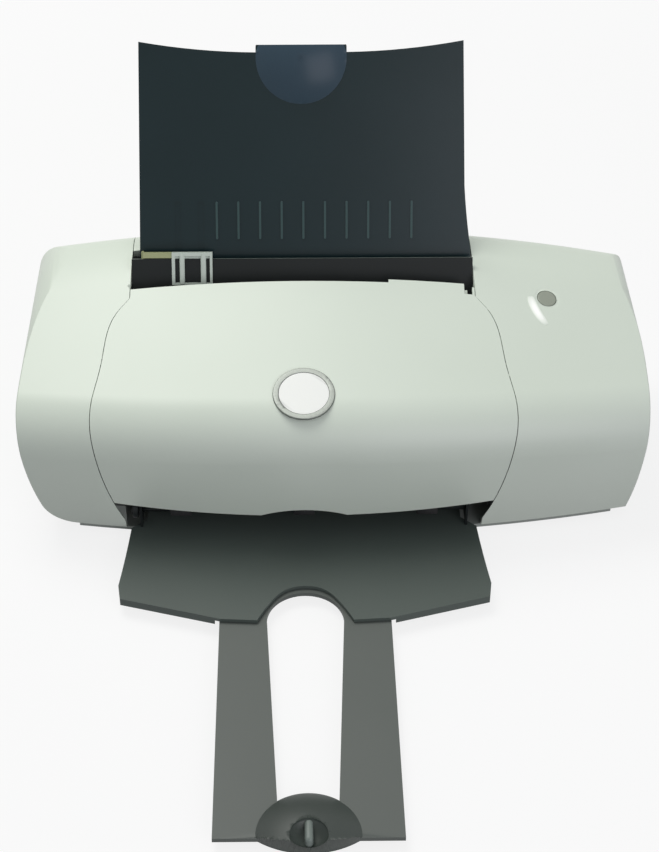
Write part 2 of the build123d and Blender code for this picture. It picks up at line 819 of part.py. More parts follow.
# Paper support: a ribbed panel with a domed pull, flared at its right foot
grip_sphere = (grip_half_width**2 + grip_rise**2) / (2 * grip_rise)
with BuildPart() as paper_support:
    with BuildSketch(on_path(-support_thickness)):
        with BuildLine():
            foot = Line((-support_half_low, -support_tail), (support_half_low, -support_tail))
            toe = Line(foot @ 1, (support_flare, -support_tail + 10))
            ankle = Line(toe @ 1, (support_flare, 0))
            flare = ThreePointArc(ankle @ 1, (support_half_low + 2.2, 16), (support_half_low - 0.4, 44))
            right = Line(flare @ 1, (support_half_top, support_height))
            dip = ThreePointArc(right @ 1, (72, support_dip + 2.2), (grip_half_width, support_dip))
            rise = ThreePointArc(dip @ 1, (0, grip_top), (-grip_half_width, support_dip))
            fall = ThreePointArc(rise @ 1, (-72, support_dip + 2.2), (-support_half_top, support_height))
            Line(fall @ 1, foot @ 0)
        make_face()
    extrude(amount=support_thickness)
    with BuildPart(mode=Mode.PRIVATE) as grip_dome:
        with Locations(on_path(grip_rise - grip_sphere, 0).offset(0)):
            with Locations((0, grip_centre, 0)):
                Sphere(grip_sphere)
        with BuildSketch(on_path(-0.5)):
            with Locations((0, grip_top - 30)):
                Rectangle(2 * grip_half_width, 60)
        extrude(amount=30, mode=Mode.INTERSECT)
    add(grip_dome.part)
    with BuildSketch(on_path(-0.2)):
        for rib in range(support_rib_count):
            with Locations((support_rib_first + rib * support_rib_pitch, 21)):
                SlotOverall(26, 1.5, rotation=90)
    extrude(amount=1.1)
    with BuildSketch(on_path(-0.6)):
        with Locations((-86, 12), (-70, 12)):
            Rectangle(4, 44)
    extrude(amount=2, mode=Mode.SUBTRACT)
paper_support.part.label = "paper_support"

# Sheet feeder: the bar in front of the stack and the fixed plate behind it
bar_thickness = 2.2
bar_top = -4.2
bar_bottom = -62.0
bar_half = 117.8
back_plate_lift = -(support_thickness + slide_gap + 2.2)
with BuildPart() as feeder_front_bar:
    with BuildSketch(on_path(stack_depth)):
        with Locations((0, (bar_top + bar_bottom) / 2)):
            Rectangle(2 * bar_half, bar_top - bar_bottom)
        with Locations((-45, bar_bottom), (45, bar_bottom)):
            Rectangle(24, 30, mode=Mode.SUBTRACT)
    extrude(amount=bar_thickness)
    # walls that close the stack's sides
    with BuildSketch(on_path(rest_gap + 0.8)):
        for hand in (-1, 1):
            with Locations((hand * (bar_half - 2.8), -38)):
                Rectangle(1.6, 48)
    extrude(amount=stack_depth - rest_gap - 0.8)
feeder_front_bar.part.label = "feeder_front_bar"

with BuildPart() as feeder_back_plate:
    with BuildSketch(on_path(back_plate_lift)):
        with Locations((0, -52)):
            Rectangle(2 * bar_half, 96)
    extrude(amount=2.2)
    # ribs down the back and feet on the chassis floor
    with BuildPart(mode=Mode.PRIVATE) as back_legs:
        for leg_x in (-100, -66, 66, 100):
            with BuildSketch(side(leg_x - 1.25)):
                top_y, top_z = path_point(-20, back_plate_lift + 0.5)
                low_y, low_z = path_point(-99, back_plate_lift + 0.5)
                with BuildLine():
                    Polyline(
                        (top_y, top_z),
                        (top_y + 12, top_z - 30),
                        (top_y + 12, floor_top),
                        (low_y + 6, floor_top),
                        (low_y, low_z),
                        close=True,
                    )
                make_face()
            extrude(amount=2.5)
    add(back_legs.part)
feeder_back_plate.part.label = "feeder_back_plate"

# Paper guide: a clip that slides along the bar, with a wall at the paper's left edge
guide_left = -90.0
guide_right = -62.0
guide_reach = 110.0
guide_top = 0.3
guide_low = -22.0
guide_travel = 110.0
clip_gap = 0.3
clip_wall = 1.2
with BuildPart() as paper_guide:
    with BuildSketch(across_path(guide_low)):
        with Locations((-(guide_left + guide_right) / 2, stack_depth + bar_thickness / 2)):
            Rectangle(guide_right - guide_left, bar_thickness + 2 * (clip_gap + clip_wall))
            Rectangle(guide_right - guide_left + 2, bar_thickness + 2 * clip_gap, mode=Mode.SUBTRACT)
    extrude(amount=bar_top + clip_gap - guide_low)
    with BuildSketch(across_path(bar_top + clip_gap)):
        with Locations((-(guide_left + guide_right) / 2, stack_depth + bar_thickness / 2)):
            Rectangle(guide_right - guide_left, bar_thickness + 2 * (clip_gap + clip_wall))
    extrude(amount=guide_top - bar_top - clip_gap)
    with BuildSketch(on_path(stack_depth + bar_thickness + clip_gap + clip_wall - 0.2)):
        with Locations((-83, (guide_low + guide_top) / 2), (-68, (guide_low + guide_top) / 2)):
            Rectangle(2.4, guide_top - guide_low - 1)
    extrude(amount=0.8)
paper_guide.part.label = "paper_guide"

with BuildPart() as guide_wall:
    with BuildSketch(on_path(stack_depth - 1.4)):
        with Locations((-(guide_reach - guide_left * -1) / 2 + guide_left, (guide_top + bar_top) / 2 + 0.3)):
            Rectangle(guide_reach + guide_left, guide_top - bar_top - 0.6)
    extrude(amount=bar_thickness + 1.4)
    with BuildSketch(side(-guide_reach - 1.2)):
        corners = [path_point(0.3, 1.4), path_point(0.3, stack_depth - clip_gap)]
        corners += [path_point(-36, stack_depth - clip_gap), path_point(-36, 1.4)]
        with BuildLine():
            Polyline(*corners, close=True)
        make_face()
    extrude(amount=1.4)
guide_wall.part.label = "guide_wall"

# Steel frame: a back plate with an upright end plate at each end
plate_back = frame_plate_y + sheet
with BuildPart() as main_frame:
    with BuildSketch(upright(plate_back)):
        with Locations(((frame_right - frame_left) / 2, (frame_plate_low + frame_plate_top) / 2)):
            Rectangle(frame_right + frame_left, frame_plate_top - frame_plate_low)
        with Locations((motor_pulley_x, pulley_z)):
            Circle(4.5, mode=Mode.SUBTRACT)
        with Locations((-80, 58), (-30, 58), (30, 58), (80, 58), (130, 58)):
            SlotOverall(30, 9, mode=Mode.SUBTRACT)
    extrude(amount=sheet)
    for across, low in ((-frame_left, pedestal_left), (frame_right - sheet, pedestal_right)):
        with BuildSketch(side(across)):
            with BuildLine():
                Polyline(
                    (plate_back, low),
                    (plate_back, 84),
                    (56, 84),
                    (52, 60),
                    (52, low),
                    close=True,
                )
            make_face()
            with Locations((rod_y, rod_z)):
                Circle(rod_radius, mode=Mode.SUBTRACT)
        extrude(amount=sheet)
main_frame.part.label = "main_frame"

with BuildPart() as carriage_rod:
    with BuildSketch(side(-frame_left - 2)):
        with Locations((rod_y, rod_z)):
            Circle(rod_radius)
    extrude(amount=frame_left + frame_right + 4)
    chamfer(carriage_rod.edges().filter_by(GeomType.CIRCLE), length=0.6)
carriage_rod.part.label = "carriage_rod"

with BuildPart() as encoder_strip:
    with BuildSketch(upright(73.2)):
        with Locations(((frame_right - frame_left) / 2, 77)):
            Rectangle(frame_right + frame_left - 2 * sheet, 5)
    extrude(amount=0.3)
encoder_strip.part.label = "encoder_strip"

# Carriage drive: motor, toothed belt and two pulleys
with BuildPart() as carriage_motor:
    with BuildSketch(upright(plate_back + 27)):
        with Locations((motor_pulley_x, pulley_z)):
            Circle(13)
    extrude(amount=27)
    with BuildSketch(upright(plate_back)):
        with Locations((motor_pulley_x, pulley_z)):
            Circle(4)
    extrude(amount=2.4)
    with BuildSketch(upright(plate_back - 2)):
        with Locations((motor_pulley_x, pulley_z)):
            Circle(1.5)
    extrude(amount=plate_back - 2 - belt_y + 2)
carriage_motor.part.label = "carriage_motor"


def belt_pulley(x):
    """A pulley with two flanges, turning on an axle along y."""
    with BuildPart() as pulley:
        with BuildSketch(upright(belt_y + belt_width + 1)):
            with Locations((x, pulley_z)):
                Circle(pulley_radius + 2)
        extrude(amount=belt_width + 2)
        with BuildSketch(upright(belt_y + belt_width + rest_gap)):
            with Locations((x, pulley_z)):
                Circle(pulley_radius + 3)
                Circle(pulley_radius, mode=Mode.SUBTRACT)
        extrude(amount=belt_width + 2 * rest_gap, mode=Mode.SUBTRACT)
        with BuildSketch(upright(belt_y + belt_width + 2)):
            with Locations((x, pulley_z)):
                Circle(1.5 + running_gap)
        extrude(amount=belt_width + 4, mode=Mode.SUBTRACT)
    return pulley.part


with BuildPart() as motor_pulley:
    add(belt_pulley(motor_pulley_x))
motor_pulley.part.label = "motor_pulley"

with BuildPart() as idler_pulley:
    add(belt_pulley(idler_pulley_x))
idler_pulley.part.label = "idler_pulley"

belt_inner = pulley_radius + 0.15
with BuildPart() as drive_belt:
    with BuildSketch(upright(belt_y + belt_width)):
        with Locations(((motor_pulley_x + idler_pulley_x) / 2, pulley_z)):
            SlotCenterToCenter(motor_pulley_x - idler_pulley_x, 2 * (belt_inner + belt_thickness))
            SlotCenterToCenter(motor_pulley_x - idler_pulley_x, 2 * belt_inner, mode=Mode.SUBTRACT)
    extrude(amount=belt_width)
drive_belt.part.label = "drive_belt"

with BuildPart() as idler_bracket:
    with BuildSketch(upright(frame_plate_y)):
        with Locations((idler_pulley_x, pulley_z + 3)):
            RectangleRounded(18, 17.5, 2)
    extrude(amount=1.5)
    with BuildSketch(upright(frame_plate_y)):
        with Locations((idler_pulley_x, pulley_z)):
            Circle(1.5)
    extrude(amount=frame_plate_y - belt_y + 2)
idler_bracket.part.label = "idler_bracket"

# Print carriage with two cartridges and their latches
carriage_left = carriage_home - carriage_width / 2
bay_width = (carriage_width - 3 * carriage_wall) / 2
bay_centres = [carriage_left + carriage_wall + bay_width / 2, carriage_home + carriage_wall / 2 + bay_width / 2]
bay_depth = carriage_back - carriage_front - 2 * carriage_wall
latch_y = carriage_back - 4.8
latch_z = carriage_top + 1.7
with BuildPart() as carriage:
    with BuildSketch(level(carriage_low)):
        with Locations((carriage_home, (carriage_front + carriage_back) / 2)):
            Rectangle(carriage_width, carriage_back - carriage_front)
    extrude(amount=carriage_top - carriage_low)
    with BuildSketch(level(carriage_low + carriage_wall)):
        for bay in bay_centres:
            with Locations((bay, (carriage_front + carriage_back) / 2)):
                Rectangle(bay_width, bay_depth)
    extrude(amount=60, mode=Mode.SUBTRACT)
    # openings for the print heads in the floor
    with BuildSketch(level(carriage_low - 1)):
        for bay in bay_centres:
            with Locations((bay, 27)):
                Rectangle(bay_width - 4, 16)
    extrude(amount=10, mode=Mode.SUBTRACT)
    # lowered front wall, where the cartridges go in
    with BuildSketch(upright(carriage_front + 4)):
        for bay in bay_centres:
            with Locations((bay, carriage_top)):
                Rectangle(bay_width - 6, 30)
    extrude(amount=10, mode=Mode.SUBTRACT)
    # ears that hold the latches' pivots
    for ear_x in (carriage_left, carriage_home - carriage_wall / 2, carriage_left + carriage_width - carriage_wall):
        with BuildSketch(side(ear_x)):
            with Locations((latch_y, latch_z)):
                Circle(3.2)
            with Locations((latch_y, carriage_top - 2)):
                Rectangle(6.4, 6)
            with Locations((latch_y, latch_z)):
                Circle(1.5 + running_gap, mode=Mode.SUBTRACT)
        extrude(amount=carriage_wall)
    # bearing on the guide rod
    with BuildSketch(side(carriage_left)):
        with Locations((rod_y, rod_z)):
            Circle(rod_radius + 2.5)
            with Locations((-4, 0)):
                Rectangle(6, 9)
        with Locations((rod_y, rod_z)):
            Circle(rod_radius + running_gap, mode=Mode.SUBTRACT)
    extrude(amount=carriage_width)
    with BuildSketch(side(carriage_left - 1)):
        with Locations((rod_y, rod_z)):
            Circle(rod_radius + running_gap)
    extrude(amount=carriage_width + 2, mode=Mode.SUBTRACT)
    # clip that takes the belt
    with BuildSketch(level(pulley_z)):
        with Locations((carriage_home, (carriage_back + 72) / 2 - 0.5)):
            Rectangle(12, 72 - carriage_back + 1)
    extrude(amount=pulley_radius - 0.2)
carriage.part.label = "carriage"

cartridge_fit = 0.25


def cartridge(bay):
    """An ink cartridge: a tank over a print-head nose."""
    with BuildPart() as tank:
        with BuildSketch(side(bay - bay_width / 2 + cartridge_fit)):
            with BuildLine():
                Polyline(
                    (20.5, nozzle_height),
                    (33.5, nozzle_height),
                    (33.5, carriage_low + carriage_wall + 0.2),
                    (carriage_back - carriage_wall - 0.6, carriage_low + carriage_wall + 0.2),
                    (carriage_back - carriage_wall - 0.6, carriage_top - 9),
                    (48, carriage_top - 2.6),
                    (carriage_front + carriage_wall + 0.6, carriage_top - 2.6),
                    (carriage_front + carriage_wall + 0.6, carriage_low + carriage_wall + 0.2),
                    (20.5, carriage_low + carriage_wall + 0.2),
                    close=True,
                )
            make_face()
        extrude(amount=bay_width - 2 * cartridge_fit)
        with BuildSketch(level(nozzle_height - 1)):
            with Locations((bay, 27)):
                Rectangle(bay_width + 2, 30)
                Rectangle(bay_width - 7, 30, mode=Mode.SUBTRACT)
        extrude(amount=carriage_low + carriage_wall + 1.2 - nozzle_height, mode=Mode.SUBTRACT)
    return tank.part


with BuildPart() as colour_cartridge:
    add(cartridge(bay_centres[0]))
colour_cartridge.part.label = "colour_cartridge"

with BuildPart() as black_cartridge:
    add(cartridge(bay_centres[1]))
black_cartridge.part.label = "black_cartridge"


def latch(bay):
    """A lid that turns on two stub pivots and presses its cartridge down."""
    half = bay_width / 2 - 0.5
    with BuildPart() as lid:
        with BuildSketch(side(bay - half)):
            with Locations((latch_y, latch_z)):
                Circle(2.4)
            with BuildLine():
                Polyline(
                    (latch_y, latch_z + 2.4),
                    (latch_y - latch_length, latch_z + 1.6),
                    (latch_y - latch_length - 3, latch_z + 3.2),
                    (latch_y - latch_length - 3.6, latch_z + 2.2),
                    (latch_y - latch_length, latch_z - 1.2),
                    (latch_y, latch_z - 1.6),
                    close=True,
                )
            make_face()
        extrude(amount=2 * half)
        with BuildSketch(side(bay - half - 1.2)):
            with Locations((latch_y, latch_z)):
                Circle(1.5)
        extrude(amount=2 * half + 2.4)
    return lid.part


with BuildPart() as left_latch:
    add(latch(bay_centres[0]))
left_latch.part.label = "left_latch"

with BuildPart() as right_latch:
    add(latch(bay_centres[1]))
right_latch.part.label = "right_latch"

# Side plates that carry the rollers
plate_hole = 3.0


def side_plate(hand):
    start = side_plate_x if hand > 0 else -side_plate_x - side_plate_thickness
    with BuildPart() as plate:
        with BuildSketch(side(start)):
            with BuildLine():
                Polyline(
                    (0.6, tray_top + rest_gap),
                    (0.6, 44),
                    (11, 44),
                    (11, 30.6),
                    (62, 30.6),
                    (62, 42),
                    (94, 42),
                    (94, floor_top),
                    (tray_back + 1, floor_top),
                    (tray_back + 1, tray_top + rest_gap),
                    close=True,
                )
            make_face()
            with Locations((feed_y, feed_z), (exit_y, exit_z)):
                Circle(plate_hole + running_gap, mode=Mode.SUBTRACT)
            with Locations((feed_y, feed_z + feed_radius + pinch_radius + 0.4), (exit_y, 37)):
                Circle(1.2 + running_gap, mode=Mode.SUBTRACT)
        extrude(amount=side_plate_thickness)
        pick_y, pick_z = path_point(pick_along, pick_reach + pick_radius)
        with BuildSketch(side(start)):
            with BuildLine():
                Polyline((84, 41), (94, 41), (pick_y + 6, pick_z + 4), (pick_y - 5, pick_z + 4), close=True)
            make_face()
            with Locations((pick_y, pick_z)):
                Circle(plate_hole + running_gap, mode=Mode.SUBTRACT)
        extrude(amount=side_plate_thickness)
    return plate.part


with BuildPart() as left_side_plate:
    add(side_plate(-1))
left_side_plate.part.label = "left_side_plate"

with BuildPart() as right_side_plate:
    add(side_plate(1))
right_side_plate.part.label = "right_side_plate"

# Platen: the ribbed bed under the print heads
with BuildPart() as platen:
    with BuildSketch(level(platen_top - 5)):
        with Locations((0, 37)):
            Rectangle(2 * side_plate_x - 0.2, 46)
    extrude(amount=3)
    with BuildSketch(level(platen_top - 2.2)):
        for rib in range(9):
            with Locations((-100 + rib * 25, 37)):
                Rectangle(1.6, 44)
    extrude(amount=2.2)
platen.part.label = "platen"

# Rollers. Each shaft runs from plate to plate.
shaft_end = side_plate_x + side_plate_thickness + 1
roller_tyres = [-84, -42, 0, 42, 84]


def roller(y, z, shaft_radius, tyre_radius, tyre_length, centres, left_end):
    with BuildPart() as turning:
        with BuildSketch(side(left_end)):
            with Locations((y, z)):
                Circle(shaft_radius)
        extrude(amount=shaft_end - left_end)
        for centre in centres:
            with BuildSketch(side(centre - tyre_length / 2)):
                with Locations((y, z)):
                    Circle(tyre_radius)
            extrude(amount=tyre_length)
    return turning.part


gear_end = gear_x - 1
with BuildPart() as feed_roller:
    add(roller(feed_y, feed_z, plate_hole, feed_radius, 26, roller_tyres, gear_end))
feed_roller.part.label = "feed_roller"

with BuildPart() as exit_roller:
    add(roller(exit_y, exit_z, plate_hole, exit_radius, 14, roller_tyres, exit_belt_x - 1))
exit_roller.part.label = "exit_roller"

pinch_z = feed_z + feed_radius + pinch_radius + 0.4
with BuildPart() as pinch_rollers:
    add(roller(feed_y, pinch_z, 1.2, pinch_radius, 16, roller_tyres, -shaft_end))
pinch_rollers.part.label = "pinch_rollers"

star_z = 37.0
with BuildPart() as star_wheels:
    add(roller(exit_y, star_z, 1.2, star_radius, 1.2, roller_tyres, -shaft_end))
    star_points = 12
    with BuildSketch(side(-100)):
        with Locations((exit_y, star_z)):
            with PolarLocations(star_radius + 0.35, star_points):
                Circle(0.75)
    extrude(amount=200, mode=Mode.SUBTRACT)
star_wheels.part.label = "star_wheels"

with BuildPart() as star_wheel_rail:
    with BuildSketch(level(star_z + star_radius + 0.5)):
        with Locations((0, 5.8)):
            Rectangle(2 * side_plate_x - 0.2, 10)
    extrude(amount=1.6)
star_wheel_rail.part.label = "star_wheel_rail"

pick_y, pick_z = path_point(pick_along, pick_reach + pick_radius)
with BuildPart() as pick_roller:
    add(roller(pick_y, pick_z, plate_hole, pick_radius, 16, [-45, 45], gear_end))
pick_roller.part.label = "pick_roller"


# Gears. Positions follow from the tooth counts, and each tooth meets a gap at rest.
def pitch_radius(teeth):
    return gear_module * teeth / 2


def meshed(centre, teeth, phase, angle, next_teeth):
    """Centre and phase of a gear that meshes at an angle, in degrees, round the first."""
    reach = pitch_radius(teeth) + pitch_radius(next_teeth)
    spot = (centre[0] + reach * cos(radians(angle)), centre[1] + reach * sin(radians(angle)))
    turn = angle + 180 - teeth / next_teeth * (phase - angle) - 180 / next_teeth
    return spot, turn


def between(first, first_reach, second, second_reach, turn):
    """Angle at the first centre towards a point at given distances from both centres."""
    span = hypot(second[0] - first[0], second[1] - first[1])
    straight = degrees(atan2(second[1] - first[1], second[0] - first[0]))
    bend = degrees(acos((first_reach**2 + span**2 - second_reach**2) / (2 * first_reach * span)))
    return straight + turn * bend


def gear(centre, teeth, phase, bore):
    pitch = pitch_radius(teeth)
    thickness = pi * gear_module / 2 - gear_backlash
    flank = [
        (pitch - 1.25 * gear_module, thickness / 2 + 0.34 * gear_module),
        (pitch, thickness / 2),
        (pitch + gear_module, thickness / 2 - 0.4 * gear_module),
    ]
    corners = []
    for tooth in range(teeth):
        middle = phase + 360 / teeth * tooth
        for radius, half in flank:
            angle = radians(middle) - half / radius
            corners.append((centre[0] + radius * cos(angle), centre[1] + radius * sin(angle)))
        for radius, half in reversed(flank):
            angle = radians(middle) + half / radius
            corners.append((centre[0] + radius * cos(angle), centre[1] + radius * sin(angle)))
    with BuildPart() as wheel:
        with BuildSketch(side(gear_x)):
            with BuildLine():
                Polyline(*corners, close=True)
            make_face()
            with Locations(centre):
                Circle(bore, mode=Mode.SUBTRACT)
        extrude(amount=gear_width)
        if teeth > 20:
            with BuildSketch(side(gear_x)):
                with Locations(centre):
                    Circle(pitch - 3)
                    Circle(bore + 2.4, mode=Mode.SUBTRACT)
            extrude(amount=1.4, mode=Mode.SUBTRACT)
    return wheel.part


feed_spot = (feed_y, feed_z)
pick_spot = (pick_y, pick_z)
lower_spot, lower_phase = meshed(feed_spot, feed_teeth, 0, lower_transfer_angle, lower_transfer_teeth)
upper_angle = between(
    lower_spot,
    pitch_radius(lower_transfer_teeth) + pitch_radius(upper_transfer_teeth),
    pick_spot,
    pitch_radius(upper_transfer_teeth) + pitch_radius(pick_teeth),
    -1,
)
upper_spot, upper_phase = meshed(
    lower_spot, lower_transfer_teeth, lower_phase, upper_angle, upper_transfer_teeth
)
pick_angle = degrees(atan2(pick_spot[1] - upper_spot[1], pick_spot[0] - upper_spot[0]))
pick_spot_check, pick_phase = meshed(upper_spot, upper_transfer_teeth, upper_phase, pick_angle, pick_teeth)
pinion_spot, pinion_phase = meshed(feed_spot, feed_teeth, 0, pinion_angle, pinion_teeth)
stud_radius = 2.0

with BuildPart() as feed_gear:
    add(gear(feed_spot, feed_teeth, 0, plate_hole))
feed_gear.part.label = "feed_gear"

with BuildPart() as lower_transfer_gear:
    add(gear(lower_spot, lower_transfer_teeth, lower_phase, stud_radius + running_gap))
lower_transfer_gear.part.label = "lower_transfer_gear"

with BuildPart() as upper_transfer_gear:
    add(gear(upper_spot, upper_transfer_teeth, upper_phase, stud_radius + running_gap))
upper_transfer_gear.part.label = "upper_transfer_gear"

with BuildPart() as pick_gear:
    add(gear(pick_spot, pick_teeth, pick_phase, plate_hole))
pick_gear.part.label = "pick_gear"

with BuildPart() as feed_motor_pinion:
    add(gear(pinion_spot, pinion_teeth, pinion_phase, 1.5))
feed_motor_pinion.part.label = "feed_motor_pinion"

# Gear plate: an upright plate that holds the gear studs and the feed motor
gear_plate_x = gear_x - 2.6
with BuildPart() as gear_plate:
    with BuildSketch(side(gear_plate_x)):
        with BuildLine():
            Polyline(
                (feed_y - 8, floor_top),
                (feed_y - 8, 34),
                (feed_y + 4, frame_plate_low - 4),
                (plate_back + 2.5, frame_plate_low),
                (upper_spot[0] - 8, upper_spot[1] + 5),
                (upper_spot[0] + 6, upper_spot[1] + 5),
                (upper_spot[0] + 12, floor_top),
                close=True,
            )
        make_face()
        with Locations(pinion_spot):
            Circle(3, mode=Mode.SUBTRACT)
    extrude(amount=1.2)
    with BuildSketch(side(gear_plate_x)):
        with Locations(lower_spot, upper_spot):
            Circle(stud_radius)
    extrude(amount=gear_width + 4)
gear_plate.part.label = "gear_plate"

with BuildPart() as feed_motor:
    with BuildSketch(side(gear_plate_x - 26)):
        with Locations(pinion_spot):
            Circle(13.2)
    extrude(amount=26)
feed_motor.part.label = "feed_motor"

# Exit roller belt, round a pulley on each shaft
exit_belt_width = 3.0
with BuildPart() as feed_pulley:
    with BuildSketch(side(exit_belt_x)):
        with Locations((feed_y, feed_z)):
            Circle(feed_pulley_radius)
            Circle(plate_hole, mode=Mode.SUBTRACT)
    extrude(amount=exit_belt_width + 1)
feed_pulley.part.label = "feed_pulley"

with BuildPart() as exit_pulley:
    with BuildSketch(side(exit_belt_x)):
        with Locations((exit_y, exit_z)):
            Circle(exit_pulley_radius)
            Circle(plate_hole, mode=Mode.SUBTRACT)
    extrude(amount=exit_belt_width + 1)
exit_pulley.part.label = "exit_pulley"


def belt_loop(extra):
    """Outline of a belt round the two pulleys, as the hull of two circles."""
    with BuildSketch(side(exit_belt_x + 0.5)) as loop:
        with Locations((feed_y, feed_z)):
            Circle(feed_pulley_radius + 0.15 + extra)
        with Locations((exit_y, exit_z)):
            Circle(exit_pulley_radius + 0.15 + extra)
        make_hull()
    return loop.sketch


with BuildPart() as exit_belt:
    extrude(belt_loop(1.0), amount=exit_belt_width)
    extrude(belt_loop(0.0), amount=exit_belt_width, mode=Mode.SUBTRACT)
exit_belt.part.label = "exit_belt"

# Service station under the parked carriage: a sled with a cap for each head and a wiper
sled_left = carriage_home - 34.0
sled_right = carriage_home + 26.0
sled_low = 12.0
sled_front = 18.0
sled_back = 54.0
sled_stroke = 9.0
with BuildPart() as service_rails:
    with BuildSketch(level(floor_top)):
        with Locations((carriage_home, sled_front + 12), (carriage_home, sled_back - 4)):
            Rectangle(70, 3)
    extrude(amount=sled_low - rest_gap - floor_top)
service_rails.part.label = "service_rails"

with BuildPart() as service_sled:
    with BuildSketch(level(sled_low)):
        with Locations(((sled_left + sled_right) / 2, (sled_front + sled_back) / 2)):
            Rectangle(sled_right - sled_left, sled_back - sled_front)
    extrude(amount=14)
    with BuildSketch(level(sled_low + 2)):
        with Locations(((sled_left + sled_right) / 2, (sled_front + sled_back) / 2)):
            Rectangle(sled_right - sled_left - 4, sled_back - sled_front - 4)
    extrude(amount=14, mode=Mode.SUBTRACT)
    with BuildSketch(level(sled_low + 2)):
        for bay in bay_centres:
            with Locations((bay, 27)):
                Rectangle(18, 14)
    extrude(amount=15)
service_sled.part.label = "service_sled"

cap_low = sled_low + 17
with BuildPart() as head_caps:
    with BuildSketch(level(cap_low)):
        for bay in bay_centres:
            with Locations((bay, 27)):
                RectangleRounded(16, 12, 2)
                RectangleRounded(13, 9, 1.5, mode=Mode.SUBTRACT)
    extrude(amount=nozzle_height - rest_gap - cap_low)
head_caps.part.label = "head_caps"

with BuildPart() as head_wiper:
    with BuildSketch(level(sled_low + 2)):
        with Locations((sled_left + 4, 30)):
            Rectangle(1.2, 16)
    extrude(amount=nozzle_height - rest_gap - sled_low - 2)
head_wiper.part.label = "head_wiper"

with BuildPart() as waste_ink_pad:
    with BuildSketch(level(floor_top)):
        with Locations((-141, 40)):
            RectangleRounded(24, 34, 3)
    extrude(amount=8)
waste_ink_pad.part.label = "waste_ink_pad"

os.makedirs("parts", exist_ok=True)
export_step(access_cover.part, "parts/access_cover.step")
export_step(badge_ring.part, "parts/badge_ring.step")
export_step(badge_disc.part, "parts/badge_disc.step")
export_step(left_side_cover.part, "parts/left_side_cover.step")
export_step(right_side_cover.part, "parts/right_side_cover.step")
export_step(power_button.part, "parts/power_button.step")
export_step(button_board.part, "parts/button_board.step")
export_step(cover_hinge_pins.part, "parts/cover_hinge_pins.step")
export_step(rear_cover.part, "parts/rear_cover.step")
export_step(usb_socket.part, "parts/usb_socket.step")
export_step(power_inlet.part, "parts/power_inlet.step")
export_step(control_board.part, "parts/control_board.step")
export_step(base_chassis.part, "parts/base_chassis.step")
export_step(rubber_feet.part, "parts/rubber_feet.step")
export_step(chassis_screws.part, "parts/chassis_screws.step")
export_step(exit_tray.part, "parts/exit_tray.step")
export_step(tray_extension.part, "parts/tray_extension.step")
export_step(paper_support.part, "parts/paper_support.step")
export_step(feeder_front_bar.part, "parts/feeder_front_bar.step")
export_step(feeder_back_plate.part, "parts/feeder_back_plate.step")
export_step(paper_guide.part, "parts/paper_guide.step")
export_step(guide_wall.part, "parts/guide_wall.step")
export_step(main_frame.part, "parts/main_frame.step")
export_step(carriage_rod.part, "parts/carriage_rod.step")
export_step(encoder_strip.part, "parts/encoder_strip.step")
export_step(carriage_motor.part, "parts/carriage_motor.step")
export_step(motor_pulley.part, "parts/motor_pulley.step")
export_step(idler_pulley.part, "parts/idler_pulley.step")
export_step(drive_belt.part, "parts/drive_belt.step")
export_step(idler_bracket.part, "parts/idler_bracket.step")
export_step(carriage.part, "parts/carriage.step")
export_step(colour_cartridge.part, "parts/colour_cartridge.step")
export_step(black_cartridge.part, "parts/black_cartridge.step")
export_step(left_latch.part, "parts/left_latch.step")
export_step(right_latch.part, "parts/right_latch.step")
export_step(left_side_plate.part, "parts/left_side_plate.step")
export_step(right_side_plate.part, "parts/right_side_plate.step")
export_step(platen.part, "parts/platen.step")
export_step(feed_roller.part, "parts/feed_roller.step")
export_step(exit_roller.part, "parts/exit_roller.step")
export_step(pinch_rollers.part, "parts/pinch_rollers.step")
export_step(star_wheels.part, "parts/star_wheels.step")
export_step(star_wheel_rail.part, "parts/star_wheel_rail.step")
export_step(pick_roller.part, "parts/pick_roller.step")
export_step(feed_gear.part, "parts/feed_gear.step")
export_step(lower_transfer_gear.part, "parts/lower_transfer_gear.step")
export_step(upper_transfer_gear.part, "parts/upper_transfer_gear.step")
export_step(pick_gear.part, "parts/pick_gear.step")
export_step(feed_motor_pinion.part, "parts/feed_motor_pinion.step")
export_step(gear_plate.part, "parts/gear_plate.step")
export_step(feed_motor.part, "parts/feed_motor.step")
export_step(feed_pulley.part, "parts/feed_pulley.step")
export_step(exit_pulley.part, "parts/exit_pulley.step")
export_step(exit_belt.part, "parts/exit_belt.step")
export_step(service_rails.part, "parts/service_rails.step")
export_step(service_sled.part, "parts/service_sled.step")
export_step(head_caps.part, "parts/head_caps.step")
export_step(head_wiper.part, "parts/head_wiper.step")
export_step(waste_ink_pad.part, "parts/waste_ink_pad.step")
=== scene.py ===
import json
import math

import bmesh
import bpy
from mathutils import Matrix, Vector


